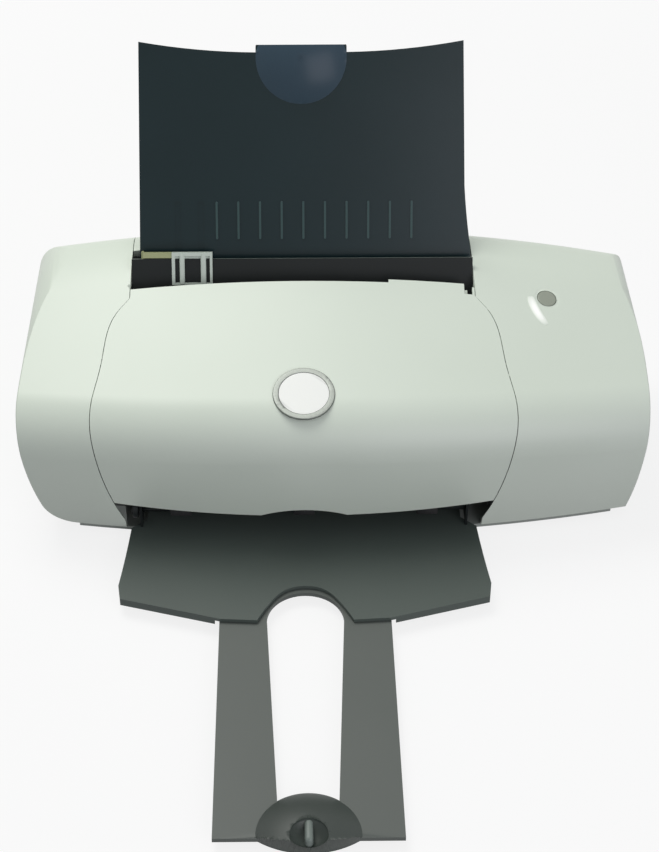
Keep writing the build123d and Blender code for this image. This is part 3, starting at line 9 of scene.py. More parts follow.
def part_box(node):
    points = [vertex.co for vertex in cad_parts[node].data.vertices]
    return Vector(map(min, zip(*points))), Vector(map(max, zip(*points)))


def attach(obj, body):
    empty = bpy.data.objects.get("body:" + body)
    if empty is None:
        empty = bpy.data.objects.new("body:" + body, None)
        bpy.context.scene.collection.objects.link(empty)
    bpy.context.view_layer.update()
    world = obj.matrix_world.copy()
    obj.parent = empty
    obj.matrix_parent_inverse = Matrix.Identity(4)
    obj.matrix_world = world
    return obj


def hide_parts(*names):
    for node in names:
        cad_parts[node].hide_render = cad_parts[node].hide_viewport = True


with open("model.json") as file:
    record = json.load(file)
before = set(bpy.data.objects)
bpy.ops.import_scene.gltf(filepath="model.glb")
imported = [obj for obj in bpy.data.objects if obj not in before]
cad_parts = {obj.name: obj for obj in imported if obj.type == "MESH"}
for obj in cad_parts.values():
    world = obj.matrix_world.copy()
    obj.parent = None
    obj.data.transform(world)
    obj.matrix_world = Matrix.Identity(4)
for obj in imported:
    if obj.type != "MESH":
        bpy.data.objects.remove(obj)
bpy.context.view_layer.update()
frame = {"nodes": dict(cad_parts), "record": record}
nodes = frame["nodes"]
print("frame loaded:", len(nodes), "nodes")

# the frame's datum: construction x and y of the drawing, in millimetres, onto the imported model
datum = {"x": -20.8, "y": 34.41}


def at(x, y, z):
    # a point of the drawing, in millimetres, as metres of the frame
    return Vector(((x + datum["x"]) / 1000, (y + datum["y"]) / 1000, z / 1000))


# camera at the photograph's angle, placed in the drawing's millimetres
cameraSetup = {
    "place": (-9.7, -929.9, 847.2),
    "target": (0, 0, 70),
    "lens": 76.87,
    "sensor": 36,
    "shiftX": 0.0298,
    "shiftY": 0.0426,
    "nearest": 0.05,
}
cameraData = bpy.data.cameras.new("photoCamera")
cameraData.lens = cameraSetup["lens"]
cameraData.sensor_width = cameraSetup["sensor"]
cameraData.shift_x = cameraSetup["shiftX"]
cameraData.shift_y = cameraSetup["shiftY"]
cameraData.clip_start = cameraSetup["nearest"]
photoCamera = bpy.data.objects.new("photoCamera", cameraData)
bpy.context.scene.collection.objects.link(photoCamera)
photoCamera.location = at(*cameraSetup["place"])
aim = at(*cameraSetup["target"]) - photoCamera.location
photoCamera.rotation_euler = aim.to_track_quat("-Z", "Y").to_euler()
bpy.context.scene.camera = photoCamera
print("camera set")


# shader maths: a wrapped socket that adds its own Math nodes
class Signal:
    def __init__(self, finish, socket):
        self.finish = finish
        self.socket = socket

    def maths(self, operation, other, swap=False):
        pair = [other, self] if swap else [self, other]
        return self.finish.add("ShaderNodeMath", {"operation": operation}, dict(enumerate(pair)))

    def __add__(self, other):
        return self.maths("ADD", other)

    def __radd__(self, other):
        return self.maths("ADD", other, True)

    def __sub__(self, other):
        return self.maths("SUBTRACT", other)

    def __rsub__(self, other):
        return self.maths("SUBTRACT", other, True)

    def __mul__(self, other):
        return self.maths("MULTIPLY", other)

    def __rmul__(self, other):
        return self.maths("MULTIPLY", other, True)

    def __truediv__(self, other):
        return self.maths("DIVIDE", other)


# one procedural material, with its shader and the nodes added to it
class Finish:
    def __init__(self, name, settings):
        self.material = bpy.data.materials.new(name)
        self.material.use_nodes = True
        self.tree = self.material.node_tree
        self.shader = self.tree.nodes["Principled BSDF"]
        self.place = self.add("ShaderNodeTexCoord", {}, {}, "Object")
        for socket, value in settings.items():
            self.shader.inputs[socket].default_value = value

    def add(self, kind, settings, inputs, output=0):
        node = self.tree.nodes.new(kind)
        for name, value in settings.items():
            setattr(node, name, value)
        for name, value in inputs.items():
            if isinstance(value, Signal):
                self.tree.links.new(value.socket, node.inputs[name])
            else:
                node.inputs[name].default_value = value
        return Signal(self, node.outputs[output])

    def noise(self, scale, detail=2, rough=0.5, stretch=(1, 1, 1)):
        where = self.place
        if stretch != (1, 1, 1):
            where = self.add("ShaderNodeMapping", {}, {"Vector": self.place, "Scale": stretch})
        inputs = {"Vector": where, "Scale": scale, "Detail": detail, "Roughness": rough}
        return self.add("ShaderNodeTexNoise", {}, inputs)

    def blend(self, first, second, factor):
        # the colour sockets of a Mix node are its inputs 6 and 7 and its output 2
        return self.add("ShaderNodeMix", {"data_type": "RGBA"}, {0: factor, 6: first, 7: second}, 2)

    def bump(self, height, distance, strength):
        inputs = {"Strength": strength, "Distance": distance, "Height": height}
        self.feed("Normal", self.add("ShaderNodeBump", {}, inputs))

    def feed(self, socket, signal):
        self.tree.links.new(signal.socket, self.shader.inputs[socket])


def moulded(name, look):
    # moulded plastic: a fine spark texture over a slow drift of tone
    finish = Finish(name, look["sockets"])
    drift = finish.noise(look["driftScale"], detail=3)
    grain = finish.noise(look["grainScale"], rough=0.6)
    tone = drift * look["driftShare"] + grain * (1 - look["driftShare"])
    finish.feed("Base Color", finish.blend(look["low"], look["high"], tone))
    finish.feed("Roughness", grain * look["roughSpread"] + (look["rough"] - look["roughSpread"] / 2))
    finish.bump(grain, look["grainDepth"], look["grainStrength"])
    return finish


def metal(name, look):
    # rolled or turned metal: fine lines along one way, with a drift of shine
    finish = Finish(name, look["sockets"])
    lines = finish.noise(look["lineScale"], 3, 0.6, look["stretch"])
    drift = finish.noise(look["driftScale"])
    tone = drift * (1 - look["lineShare"]) + lines * look["lineShare"]
    finish.feed("Base Color", finish.blend(look["low"], look["high"], tone))
    finish.feed("Roughness", lines * look["roughSpread"] + look["rough"])
    finish.bump(lines, look["lineDepth"], look["lineStrength"])
    return finish


def srgb(red, green, blue):
    # a screen colour as the linear value that renders as it
    channels = []
    for value in (red, green, blue):
        share = value / 255
        channels.append(share / 12.92 if share <= 0.04045 else ((share + 0.055) / 1.055) ** 2.4)
    return (*channels, 1)


# moulded finishes: three full looks, and others that change a few of their values
whiteLook = {
    "low": srgb(212, 222, 208),
    "high": srgb(222, 231, 219),
    "rough": 0.42,
    "roughSpread": 0.10,
    "driftScale": 9.0,
    "driftShare": 0.75,
    "grainScale": 1500.0,
    "grainDepth": 0.00004,
    "grainStrength": 0.35,
    "sockets": {"Specular IOR Level": 0.45, "Coat Weight": 0.06, "Coat Roughness": 0.25},
}
panelLook = {
    "low": srgb(17, 35, 38),
    "high": srgb(26, 46, 50),
    "rough": 0.24,
    "roughSpread": 0.08,
    "driftScale": 14.0,
    "driftShare": 0.75,
    "grainScale": 900.0,
    "grainDepth": 0.00002,
    "grainStrength": 0.2,
    "sockets": {"Specular IOR Level": 0.18, "Coat Weight": 0.03, "Coat Roughness": 0.15},
}
trayLook = {
    "low": srgb(68, 77, 73),
    "high": srgb(80, 89, 84),
    "rough": 0.5,
    "roughSpread": 0.12,
    "driftScale": 12.0,
    "driftShare": 0.75,
    "grainScale": 1300.0,
    "grainDepth": 0.00005,
    "grainStrength": 0.4,
    "sockets": {"Specular IOR Level": 0.4},
}
whiteSiblings = {
    "pale": {"low": srgb(196, 208, 197), "high": srgb(214, 224, 214), "rough": 0.3},
    "guideWall": {"low": srgb(158, 164, 118), "high": srgb(174, 180, 136), "rough": 0.35},
    "gear": {"low": srgb(224, 222, 212), "high": srgb(236, 234, 226), "rough": 0.4},
    "button": {"low": srgb(142, 149, 135), "high": srgb(158, 164, 150), "rough": 0.3},
    "disc": {"low": srgb(232, 234, 230), "high": srgb(240, 242, 238), "rough": 0.3},
}
panelSiblings = {
    # rib: a lighter tone, a painted highlight along the support's ribs
    "rib": {"low": srgb(52, 74, 74), "high": srgb(64, 88, 88), "rough": 0.3},
    # grip: a lighter, bluer tone, a painted reflection on the support's grip
    "grip": {"low": srgb(46, 64, 76), "high": srgb(60, 80, 94), "rough": 0.3},
}
traySiblings = {
    "grip": {"low": srgb(50, 57, 53), "high": srgb(61, 68, 64), "rough": 0.45},
    "black": {"low": srgb(16, 20, 20), "high": srgb(25, 30, 30), "sockets": {"Specular IOR Level": 0.2}},
    "midGrey": {"low": srgb(112, 116, 116), "high": srgb(124, 128, 127)},
    "extension": {"low": srgb(80, 86, 82), "high": srgb(91, 96, 92), "rough": 0.48},
    # barEdgeHighlight: a lighter grey, a painted highlight on the feeder bar's top edge and on the pull's rib
    "barEdgeHighlight": {"low": srgb(106, 116, 111), "high": srgb(122, 132, 126), "rough": 0.4},
    # chassis: a pale grey given to the pan, painted light that lifts the shade it sits in under the shells'
    # skirt
    "chassis": {"low": srgb(146, 152, 146), "high": srgb(162, 168, 162), "rough": 0.45},
    "board": {"low": srgb(22, 78, 48), "high": srgb(34, 98, 62), "rough": 0.4},
    "film": {"low": srgb(150, 152, 150), "high": srgb(176, 178, 176), "rough": 0.2},
    "rubber": {"low": srgb(28, 28, 29), "high": srgb(42, 42, 43), "rough": 0.75, "grainDepth": 0.0001},
    "felt": {
        "low": srgb(176, 172, 158),
        "high": srgb(208, 204, 190),
        "rough": 0.95,
        "grainScale": 700.0,
        "grainDepth": 0.0004,
    },
}

# metal finishes
steelLook = {
    "low": srgb(170, 172, 172),
    "high": srgb(196, 198, 198),
    "rough": 0.28,
    "roughSpread": 0.16,
    "driftScale": 18.0,
    "lineScale": 260.0,
    "lineShare": 0.5,
    "lineDepth": 0.00003,
    "lineStrength": 0.3,
    "stretch": (1, 14, 14),
    "sockets": {"Metallic": 1.0},
}
steelSiblings = {
    "rod": {"low": srgb(196, 197, 199), "high": srgb(214, 215, 217), "rough": 0.12, "roughSpread": 0.08},
    "ring": {
        "low": srgb(112, 116, 112),
        "high": srgb(134, 138, 134),
        "rough": 0.34,
        "stretch": (10, 1, 1),
        "lineScale": 500.0,
    },
}

finishes = {
    "white_shell": moulded("satinWhiteShell", whiteLook),
    "dark_panel": moulded("smokedPanel", panelLook),
    "grey_tray": moulded("charcoalTray", trayLook),
    "grey_grip": moulded("darkGrip", trayLook | traySiblings["grip"]),
    "black_plastic": moulded("mattBlackPlastic", trayLook | traySiblings["black"]),
    "mid_grey_plastic": moulded("midGreyPlastic", trayLook | traySiblings["midGrey"]),
    "pale_plastic": moulded("paleClipPlastic", whiteLook | whiteSiblings["pale"]),
    "badge_silver": metal("spunBadgeRing", steelLook | steelSiblings["ring"]),
    "badge_white": moulded("bareBadgeDisc", whiteLook | whiteSiblings["disc"]),
    "button_silver": moulded("buttonLacquer", whiteLook | whiteSiblings["button"]),
    "steel": metal("rolledSteel", steelLook),
    "rod_steel": metal("groundRodSteel", steelLook | steelSiblings["rod"]),
    "rubber": moulded("mattRubber", trayLook | traySiblings["rubber"]),
    "green_board": moulded("solderMask", trayLook | traySiblings["board"]),
    "clear_film": moulded("encoderFilm", trayLook | traySiblings["film"]),
    "felt": moulded("wasteFelt", trayLook | traySiblings["felt"]),
    "panel_grip_painted_sheen": moulded("smokedGripPaintedSheen", panelLook | panelSiblings["grip"]),
    "panel_rib_painted_highlight": moulded("smokedRibPaintedHighlight", panelLook | panelSiblings["rib"]),
    "guide_yellow": moulded("agedGuideWall", whiteLook | whiteSiblings["guideWall"]),
    "extension_grey": moulded("extensionGrey", trayLook | traySiblings["extension"]),
    "painted_edge_highlight": moulded("paintedBarEdgeHighlight", trayLook | traySiblings["barEdgeHighlight"]),
    "chassis_painted_light": moulded("chassisPaintedLight", trayLook | traySiblings["chassis"]),
    "gear_plastic": moulded("gearAcetal", whiteLook | whiteSiblings["gear"]),
}
print("finishes made:", len(finishes))


def paint(piece, finishName):
    piece.data.materials.clear()
    piece.data.materials.append(finishes[finishName].material)


slotOf = {entry["node"]: entry["material_slot"] for entry in frame["record"]["subparts"]}
for name, node in nodes.items():
    paint(node, slotOf[name])
# the pan gets the pale chassis grey, painted light that lifts its shade under the shells' skirt
paint(nodes["base_chassis"], "chassis_painted_light")
print("CAD nodes painted")


# the housing's side profile, as the drawing gives it, in millimetres
profile = {
    "frontFace": -15.0,
    "frontRadius": 850.0,
    "crownRadius": 1111.0,
    "slope": math.radians(17),
    "shoulder": 38.0,
    "tuck": 200.0,
    "crest": 154.0,
    "coverEdge": 105.0,
    "coverEdgeHeight": 144.0,
    "rearFace": 184.0,
}


def topAt(x, y):
    # height of the sloping top
    edge = profile["coverEdgeHeight"] - x * x / (2 * profile["crownRadius"])
    return edge - math.tan(profile["slope"]) * (profile["coverEdge"] - y)


def profileGap(x, y, z):
    # how far a point stands outside the housing's profile, in millimetres
    slope = profile["slope"]
    front = profile["frontFace"] + x * x / (2 * profile["frontRadius"])
    edge = topAt(x, profile["coverEdge"])
    shoulderY = front + profile["shoulder"]
    shoulderZ = topAt(x, shoulderY) - profile["shoulder"] / math.cos(slope)
    crestY = profile["coverEdge"] + profile["crest"] * math.sin(slope)
    crestZ = edge + profile["crest"] * (1 - math.cos(slope))
    crestLow = crestZ - profile["crest"]
    rearRadius = profile["rearFace"] - crestY
    rearLow = crestZ - rearRadius
    if z < shoulderZ and y < profile["coverEdge"]:
        return math.hypot(y - front - profile["tuck"], z - shoulderZ) - profile["tuck"]
    if (y - shoulderY) * math.cos(slope) + (z - shoulderZ) * math.sin(slope) < 0:
        return math.hypot(y - shoulderY, z - shoulderZ) - profile["shoulder"]
    if (y - crestY) * math.cos(slope) + (z - crestLow) * math.sin(slope) < 0:
        return (z - edge) * math.cos(slope) - (y - profile["coverEdge"]) * math.sin(slope)
    if y < crestY:
        return math.hypot(y - crestY, z - crestLow) - profile["crest"]
    if z > rearLow:
        return math.hypot(y - crestY, z - rearLow) - rearRadius
    return y - profile["rearFace"]


def profileNormal(x, y, z):
    step = 0.1
    across = profileGap(x + step, y, z) - profileGap(x - step, y, z)
    along = profileGap(x, y + step, z) - profileGap(x, y - step, z)
    upward = profileGap(x, y, z + step) - profileGap(x, y, z - step)
    return Vector((across, along, upward)).normalized()


def deselectAll():
    if bpy.context.object and bpy.context.object.mode != "OBJECT":
        bpy.ops.object.mode_set(mode="OBJECT")
    bpy.ops.object.select_all(action="DESELECT")


def pickUp(piece):
    # makes one object the only selected and active one
    deselectAll()
    piece.select_set(True)
    bpy.context.view_layer.objects.active = piece


def applyAll(piece):
    pickUp(piece)
    for modifier in list(piece.modifiers):
        bpy.ops.object.modifier_apply(modifier=modifier.name)


def settle(piece, name, body, slotName, replaced=(), angle=30):
    # last steps of a made piece: modifiers and place into its mesh, shading, finish and body
    piece.name = name
    applyAll(piece)
    bpy.ops.object.transform_apply(location=True, rotation=True, scale=True)
    bpy.ops.object.shade_smooth_by_angle(angle=math.radians(angle))
    if not piece.data.materials:
        paint(piece, slotName)
    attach(piece, body)
    if replaced:
        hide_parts(*replaced)
    return piece


def mergedCopy(nodeName, finishName, angle):
    # a copy of a CAD node with its loose triangles merged and its round faces shaded smooth
    piece = bpy.data.objects.new(nodeName + "_smooth", nodes[nodeName].data.copy())
    bpy.context.scene.collection.objects.link(piece)
    pickUp(piece)
    bpy.ops.object.mode_set(mode="EDIT")
    bpy.ops.mesh.select_all(action="SELECT")
    bpy.ops.mesh.remove_doubles(threshold=0.000005)
    bpy.ops.object.mode_set(mode="OBJECT")
    bpy.ops.object.shade_smooth_by_angle(angle=math.radians(angle))
    paint(piece, finishName)
    return piece


def smoothCopy(nodeName, body, slotName, angle=12, finishName=None):
    # a merged copy that takes the place of its CAD node
    piece = mergedCopy(nodeName, finishName or slotName, angle)
    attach(piece, body)
    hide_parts(nodeName)
    return piece


def drawn(point):
    # a point of a mesh, in metres of the frame, as millimetres of the drawing
    return Vector((point.x * 1000 - datum["x"], point.y * 1000 - datum["y"], point.z * 1000))


def paintWhere(piece, finishName, test):
    # a second finish on the faces whose middle passes a test
    piece.data.materials.append(finishes[finishName].material)
    place = len(piece.data.materials) - 1
    for polygon in piece.data.polygons:
        if test(drawn(polygon.center)):
            polygon.material_index = place


# the three shells and the cover
shellLook = {
    "angle": 25,
    "nearProfile": 0.3,
    "sameWay": 0.8,
    "bodies": {
        "access_cover": "front_cover",
        "left_side_cover": "housing",
        "right_side_cover": "housing",
        "rear_cover": "housing",
    },
}


def followProfile(piece):
    # outer faces of a shell get the normals of the housing's own profile
    mesh = piece.data
    normals = [corner.vector.copy() for corner in mesh.corner_normals]
    for polygon in mesh.polygons:
        for loopIndex in polygon.loop_indices:
            x, y, z = drawn(mesh.vertices[mesh.loops[loopIndex].vertex_index].co)
            if abs(profileGap(x, y, z)) < shellLook["nearProfile"]:
                normal = profileNormal(x, y, z)
                if normal.dot(polygon.normal) > shellLook["sameWay"]:
                    normals[loopIndex] = normal
    mesh.normals_split_custom_set(normals)


for nodeName, body in shellLook["bodies"].items():
    followProfile(smoothCopy(nodeName, body, "white_shell", shellLook["angle"]))
print("shells smoothed")

# paper support, measured up the paper path from the slot's mouth and off its face
supportLook = {
    "lean": math.radians(27),
    "mouth": (137.0, 148.0),
    "gripFrom": 99.0,
    "gripLift": 0.2,
    "ribTop": 40.0,
    "ribLift": 0.1,
    "flatness": 0.9999,
}


def pathFrame(y, z):
    # distance up the paper path and off its face
    fromY, fromZ = y - supportLook["mouth"][0], z - supportLook["mouth"][1]
    lean = supportLook["lean"]
    return fromY * math.sin(lean) + fromZ * math.cos(lean), fromZ * math.sin(lean) - fromY * math.cos(lean)


def onSupportGrip(spot):
    along, lift = pathFrame(spot.y, spot.z)
    return lift > supportLook["gripLift"] and along > supportLook["gripFrom"]


def onSupportRib(spot):
    along, lift = pathFrame(spot.y, spot.z)
    return lift > supportLook["ribLift"] and along < supportLook["ribTop"]


def keepFlat(piece, facing):
    # flat faces that look one way, or the opposite way, get exactly that normal
    mesh = piece.data
    normals = [corner.vector.copy() for corner in mesh.corner_normals]
    for polygon in mesh.polygons:
        side = polygon.normal.dot(facing)
        if abs(side) > supportLook["flatness"]:
            for loopIndex in polygon.loop_indices:
                normals[loopIndex] = facing if side > 0 else -facing
    mesh.normals_split_custom_set(normals)


supportPanel = smoothCopy("paper_support", "support_panel", "dark_panel")
keepFlat(supportPanel, Vector((0, -math.cos(supportLook["lean"]), math.sin(supportLook["lean"]))))
# the grip's faces get the painted reflection
paintWhere(supportPanel, "panel_grip_painted_sheen", onSupportGrip)
# the ribs' faces get the painted highlight
paintWhere(supportPanel, "panel_rib_painted_highlight", onSupportRib)
print("paper support done")

# exit tray and its extension, whose pull is darker
smoothCopy("exit_tray", "housing", "grey_tray")
extensionLook = {"pullAbove": 9.45, "pullCentre": -263.0, "pullReach": 31.5, "pullFront": -265.3}


def onPull(spot):
    reach = math.hypot(spot.x, spot.y - extensionLook["pullCentre"])
    raised = spot.z > extensionLook["pullAbove"] or spot.y < extensionLook["pullFront"]
    return raised and reach < extensionLook["pullReach"]


trayExtension = smoothCopy("tray_extension", "tray_slide", "grey_tray", finishName="extension_grey")
paintWhere(trayExtension, "grey_grip", onPull)


def roundedBlock(middle, sides, rounding, segments):
    # a block about a point of the frame, with its size and rounding in millimetres
    deselectAll()
    bpy.ops.mesh.primitive_cube_add(size=1, location=middle)
    block = bpy.context.object
    block.scale = [side / 1000 for side in sides]
    bpy.ops.object.transform_apply(location=False, rotation=False, scale=True)
    bevel = block.modifiers.new("rounding", "BEVEL")
    bevel.width = rounding / 1000
    bevel.segments = segments
    return block


# rounded rib that stands in the pull's finger hollow; its lighter grey is a painted highlight on its ridge
pullRib = {"width": 5.0, "low": (-273.4, 10.5), "high": (-257.0, 18.2), "rounding": 2.3, "segments": 5}
(ribFront, ribFoot), (ribBack, ribCrest) = pullRib["low"], pullRib["high"]
rib = roundedBlock(
    at(0, (ribFront + ribBack) / 2, (ribFoot + ribCrest) / 2),
    (pullRib["width"], ribBack - ribFront, ribCrest - ribFoot),
    pullRib["rounding"],
    pullRib["segments"],
)
paint(rib, "painted_edge_highlight")
settle(rib, "pull_rib", "tray_slide", "grey_tray")
print("tray and extension done")

# badge and button
smoothCopy("badge_ring", "front_cover", "badge_silver", 40)
smoothCopy("badge_disc", "front_cover", "badge_white")
smoothCopy("power_button", "button", "button_silver", 40)

# painted highlight: a crescent beside the button, a stretch of a flattened torus, whose colour and glow paint
# the highlight on the shell round the button
paintedHighlight = {
    "button": (168.4, 102.5),
    "centre": (36.8, 6.4),
    "reach": 49.0,
    "width": 3.4,
    "height": 0.35,
    "from": 185,
    "to": 218,
    "low": srgb(217, 227, 214),
    "high": srgb(250, 252, 247),
    "glow": (1, 1, 0.97, 1),
    "sockets": {"Specular IOR Level": 0.45, "Roughness": 0.42, "Emission Strength": 0.22},
}
middleAngle = (paintedHighlight["from"] + paintedHighlight["to"]) / 2
halfSpan = (paintedHighlight["to"] - paintedHighlight["from"]) / 2
highlightReach = paintedHighlight["reach"] / 1000
highlightWidth = paintedHighlight["width"] / 1000


def buttonPlane():
    # middle of the crescent's arc, and the turn of the cheek's surface at the button
    x, y = paintedHighlight["button"]
    normal = profileNormal(x, y, topAt(x, y))
    right = Vector((1, 0, 0)) - normal * normal.x
    right.normalize()
    turn = Matrix((right, normal.cross(right), normal)).transposed()
    across, along = paintedHighlight["centre"]
    return at(x, y, topAt(x, y)) + turn @ Vector((across / 1000, along / 1000, 0)), turn


def highlightGlowFinish():
    # painted highlight and glow: bright along the middle of the crescent, and the shell's own tone at its rim
    finish = Finish("paintedHighlight", paintedHighlight["sockets"])
    middle = math.radians(middleAngle)
    tangent = highlightTurn @ Vector((-math.sin(middle), math.cos(middle), 0))
    halfLength = highlightReach * math.radians(halfSpan)
    reach = finish.add("ShaderNodeVectorMath", {"operation": "DISTANCE"}, {0: finish.place, 1: highlightPlace}, 1)
    along = finish.add("ShaderNodeVectorMath", {"operation": "DOT_PRODUCT"}, {0: finish.place, 1: tangent}, 1)
    offArc = (reach - highlightReach) / highlightWidth
    offMiddle = (along - highlightPlace.dot(tangent)) / halfLength
    share = finish.add("ShaderNodeClamp", {}, {0: (1 - offArc * offArc) * (1 - offMiddle * offMiddle)})
    finish.feed("Base Color", finish.blend(paintedHighlight["low"], paintedHighlight["high"], share))
    finish.feed("Emission Color", finish.blend((0, 0, 0, 1), paintedHighlight["glow"], share))
    return finish


def angleOf(vertex):
    return math.degrees(math.atan2(vertex.co.y, vertex.co.x)) % 360


highlightPlace, highlightTurn = buttonPlane()
deselectAll()
bpy.ops.mesh.primitive_torus_add(
    major_segments=96,
    minor_segments=12,
    major_radius=highlightReach,
    minor_radius=highlightWidth,
    location=(0, 0, 0),
)
# the crescent that carries the painted highlight
lens = bpy.context.object
bpy.ops.object.mode_set(mode="EDIT")
highlightMesh = bmesh.from_edit_mesh(lens.data)
for vertex in highlightMesh.verts:
    vertex.select = not paintedHighlight["from"] <= angleOf(vertex) <= paintedHighlight["to"]
highlightMesh.select_flush(True)
bmesh.update_edit_mesh(lens.data)
bpy.ops.mesh.delete(type="VERT")
bpy.ops.mesh.select_all(action="SELECT")
bpy.ops.mesh.fill_holes(sides=0)
bpy.ops.mesh.normals_make_consistent(inside=False)
highlightMesh = bmesh.from_edit_mesh(lens.data)
for vertex in highlightMesh.verts:
    # one degree past the ends, so that the tips stay a little open
    taper = math.sqrt(max(0.0, 1 - ((angleOf(vertex) - middleAngle) / (halfSpan + 1)) ** 2))
    reach = math.hypot(vertex.co.x, vertex.co.y)
    wanted = highlightReach + (reach - highlightReach) * taper
    vertex.co.x *= wanted / reach
    vertex.co.y *= wanted / reach
    vertex.co.z *= taper * paintedHighlight["height"] / paintedHighlight["width"]
bmesh.update_edit_mesh(lens.data)
bpy.ops.object.mode_set(mode="OBJECT")
lens.matrix_world = Matrix.Translation(highlightPlace) @ highlightTurn.to_4x4()
lens.data.materials.append(highlightGlowFinish().material)
settle(lens, "painted_highlight", "housing", "badge_white", angle=60)
# the crescent made above is a painted highlight that glows, not a lamp
print("badge, button and painted highlight done")

# paper guide: a clear clip with windows, given across, up the paper path and off it
guideLook = {
    "windows": ((-87.8, -84.6), (-81.2, -70.0), (-66.4, -63.8)),
    "up": (-20.5, -2.2),
    "off": (12.3, 16.5),
    "angle": 20,
}


def cutBox(piece, corners):
    # cuts a box between two corners, given across, up the path and off it
    (x0, along0, lift0), (x1, along1, lift1) = corners
    lean = supportLook["lean"]
    along, lift = (along0 + along1) / 2, (lift0 + lift1) / 2
    y = supportLook["mouth"][0] + along * math.sin(lean) - lift * math.cos(lean)
    z = supportLook["mouth"][1] + along * math.cos(lean) + lift * math.sin(lean)
    deselectAll()
    bpy.ops.mesh.primitive_cube_add(size=1, location=at((x0 + x1) / 2, y, z), rotation=(-lean, 0, 0))
    cutter = bpy.context.object
    cutter.scale = ((x1 - x0) / 1000, (lift1 - lift0) / 1000, (along1 - along0) / 1000)
    cut = piece.modifiers.new("window", "BOOLEAN")
    cut.operation = "DIFFERENCE"
    cut.solver = "EXACT"
    cut.object = cutter
    applyAll(piece)
    bpy.data.objects.remove(cutter)


guideClip = mergedCopy("paper_guide", "pale_plastic", guideLook["angle"])
for left, right in guideLook["windows"]:
    cutBox(guideClip, list(zip((left, right), guideLook["up"], guideLook["off"])))
settle(guideClip, "guide_clip", "edge_guide", "pale_plastic", ("paper_guide",), guideLook["angle"])
smoothCopy("guide_wall", "edge_guide", "pale_plastic", guideLook["angle"], "guide_yellow")
print("paper guide done")

# feeder bar whose top edge, at a height up the paper path, gets a painted highlight
barLook = {"top": -4.2, "edgeBand": 0.3}


def onBarTop(spot):
    along, lift = pathFrame(spot.y, spot.z)
    return abs(along - barLook["top"]) < barLook["edgeBand"]


feederBar = smoothCopy("feeder_front_bar", "housing", "black_plastic")
paintWhere(feederBar, "painted_edge_highlight", onBarTop)
print("feeder bar done")

# rollers: rubber on turned steel, and in the exit opening a shaft painted black as painted shade
rollerLook = {
    "feed_roller": {"body": "feed_shaft", "centre": (70.0, 24.0), "sleeve": 5.5, "shaft": "rod_steel"},
    "exit_roller": {"body": "exit_shaft", "centre": (6.0, 26.0), "sleeve": 4.0, "shaft": "black_plastic"},
    "pick_roller": {"body": "pick_shaft", "centre": (86.87, 83.756), "sleeve": 8.0, "shaft": "rod_steel"},
}
for nodeName, look in rollerLook.items():
    piece = smoothCopy(nodeName, look["body"], "rubber", 35)
    centreY, centreZ = look["centre"]

    def onShaft(spot):
        return math.hypot(spot.y - centreY, spot.z - centreZ) < look["sleeve"]

    paintWhere(piece, look["shaft"], onShaft)
print("rollers done")

# control board: chips and cans on solder mask
boardLook = {"inFrontOf": 169.3, "cans": ((92, 60), (92, 74), (-6, 44)), "canReach": 4.3}


def onCan(spot):
    near = min(math.hypot(spot.x - x, spot.z - z) for x, z in boardLook["cans"])
    return spot.y < boardLook["inFrontOf"] and near < boardLook["canReach"]


def onChip(spot):
    return spot.y < boardLook["inFrontOf"] and not onCan(spot)


controlBoard = smoothCopy("control_board", "housing", "green_board", 35)
paintWhere(controlBoard, "rod_steel", onCan)
paintWhere(controlBoard, "black_plastic", onChip)

# contacts inside the two sockets
tongueSetup = {
    "across": 62.0,
    "up": 34.0,
    "from": 171.5,
    "size": (5.6, 7.0, 3.0),
    "rounding": 0.4,
    "segments": 3,
}
tongueMiddle = tongueSetup["from"] + tongueSetup["size"][1] / 2
tongue = roundedBlock(
    at(tongueSetup["across"], tongueMiddle, tongueSetup["up"]),
    tongueSetup["size"],
    tongueSetup["rounding"],
    tongueSetup["segments"],
)
settle(tongue, "data_tongue", "housing", "black_plastic")

pinSetup = {"across": (89.6, 94.4), "up": 34.0, "from": 172.5, "length": 7.5, "reach": 0.9, "rounding": 0.4}
for number, x in enumerate(pinSetup["across"], 1):
    deselectAll()
    bpy.ops.mesh.primitive_cylinder_add(
        vertices=24,
        radius=pinSetup["reach"] / 1000,
        depth=pinSetup["length"] / 1000,
        location=at(x, pinSetup["from"] + pinSetup["length"] / 2, pinSetup["up"]),
        rotation=(math.pi / 2, 0, 0),
    )
    pin = bpy.context.object
    bevel = pin.modifiers.new("tip", "BEVEL")
    bevel.width = pinSetup["rounding"] / 1000
    bevel.segments = 3
    settle(pin, "power_pin_%d" % number, "housing", "steel")
print("board and sockets done")

# felt pad in the place of the CAD one: lift and grain in metres, rounding in millimetres
feltSetup = {"cuts": 28, "lift": 0.0004, "grain": 0.0022, "rounding": 1.1, "segments": 3}
low, high = (Vector(corner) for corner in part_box("waste_ink_pad"))
padSides = [(side - 2 * feltSetup["lift"]) * 1000 for side in (high - low)]
pad = roundedBlock((low + high) / 2, padSides, feltSetup["rounding"], feltSetup["segments"])
applyAll(pad)
bpy.ops.object.mode_set(mode="EDIT")
bpy.ops.mesh.select_all(action="SELECT")
bpy.ops.mesh.subdivide(number_cuts=feltSetup["cuts"])
bpy.ops.object.mode_set(mode="OBJECT")
fibres = bpy.data.textures.new("fibres", "CLOUDS")
fibres.noise_scale = feltSetup["grain"]
fluff = pad.modifiers.new("fluff", "DISPLACE")
fluff.texture = fibres
fluff.strength = feltSetup["lift"]
fluff.mid_level = 0.5
settle(pad, "ink_felt", "housing", "felt", ("waste_ink_pad",), 60)
print("felt pad done")

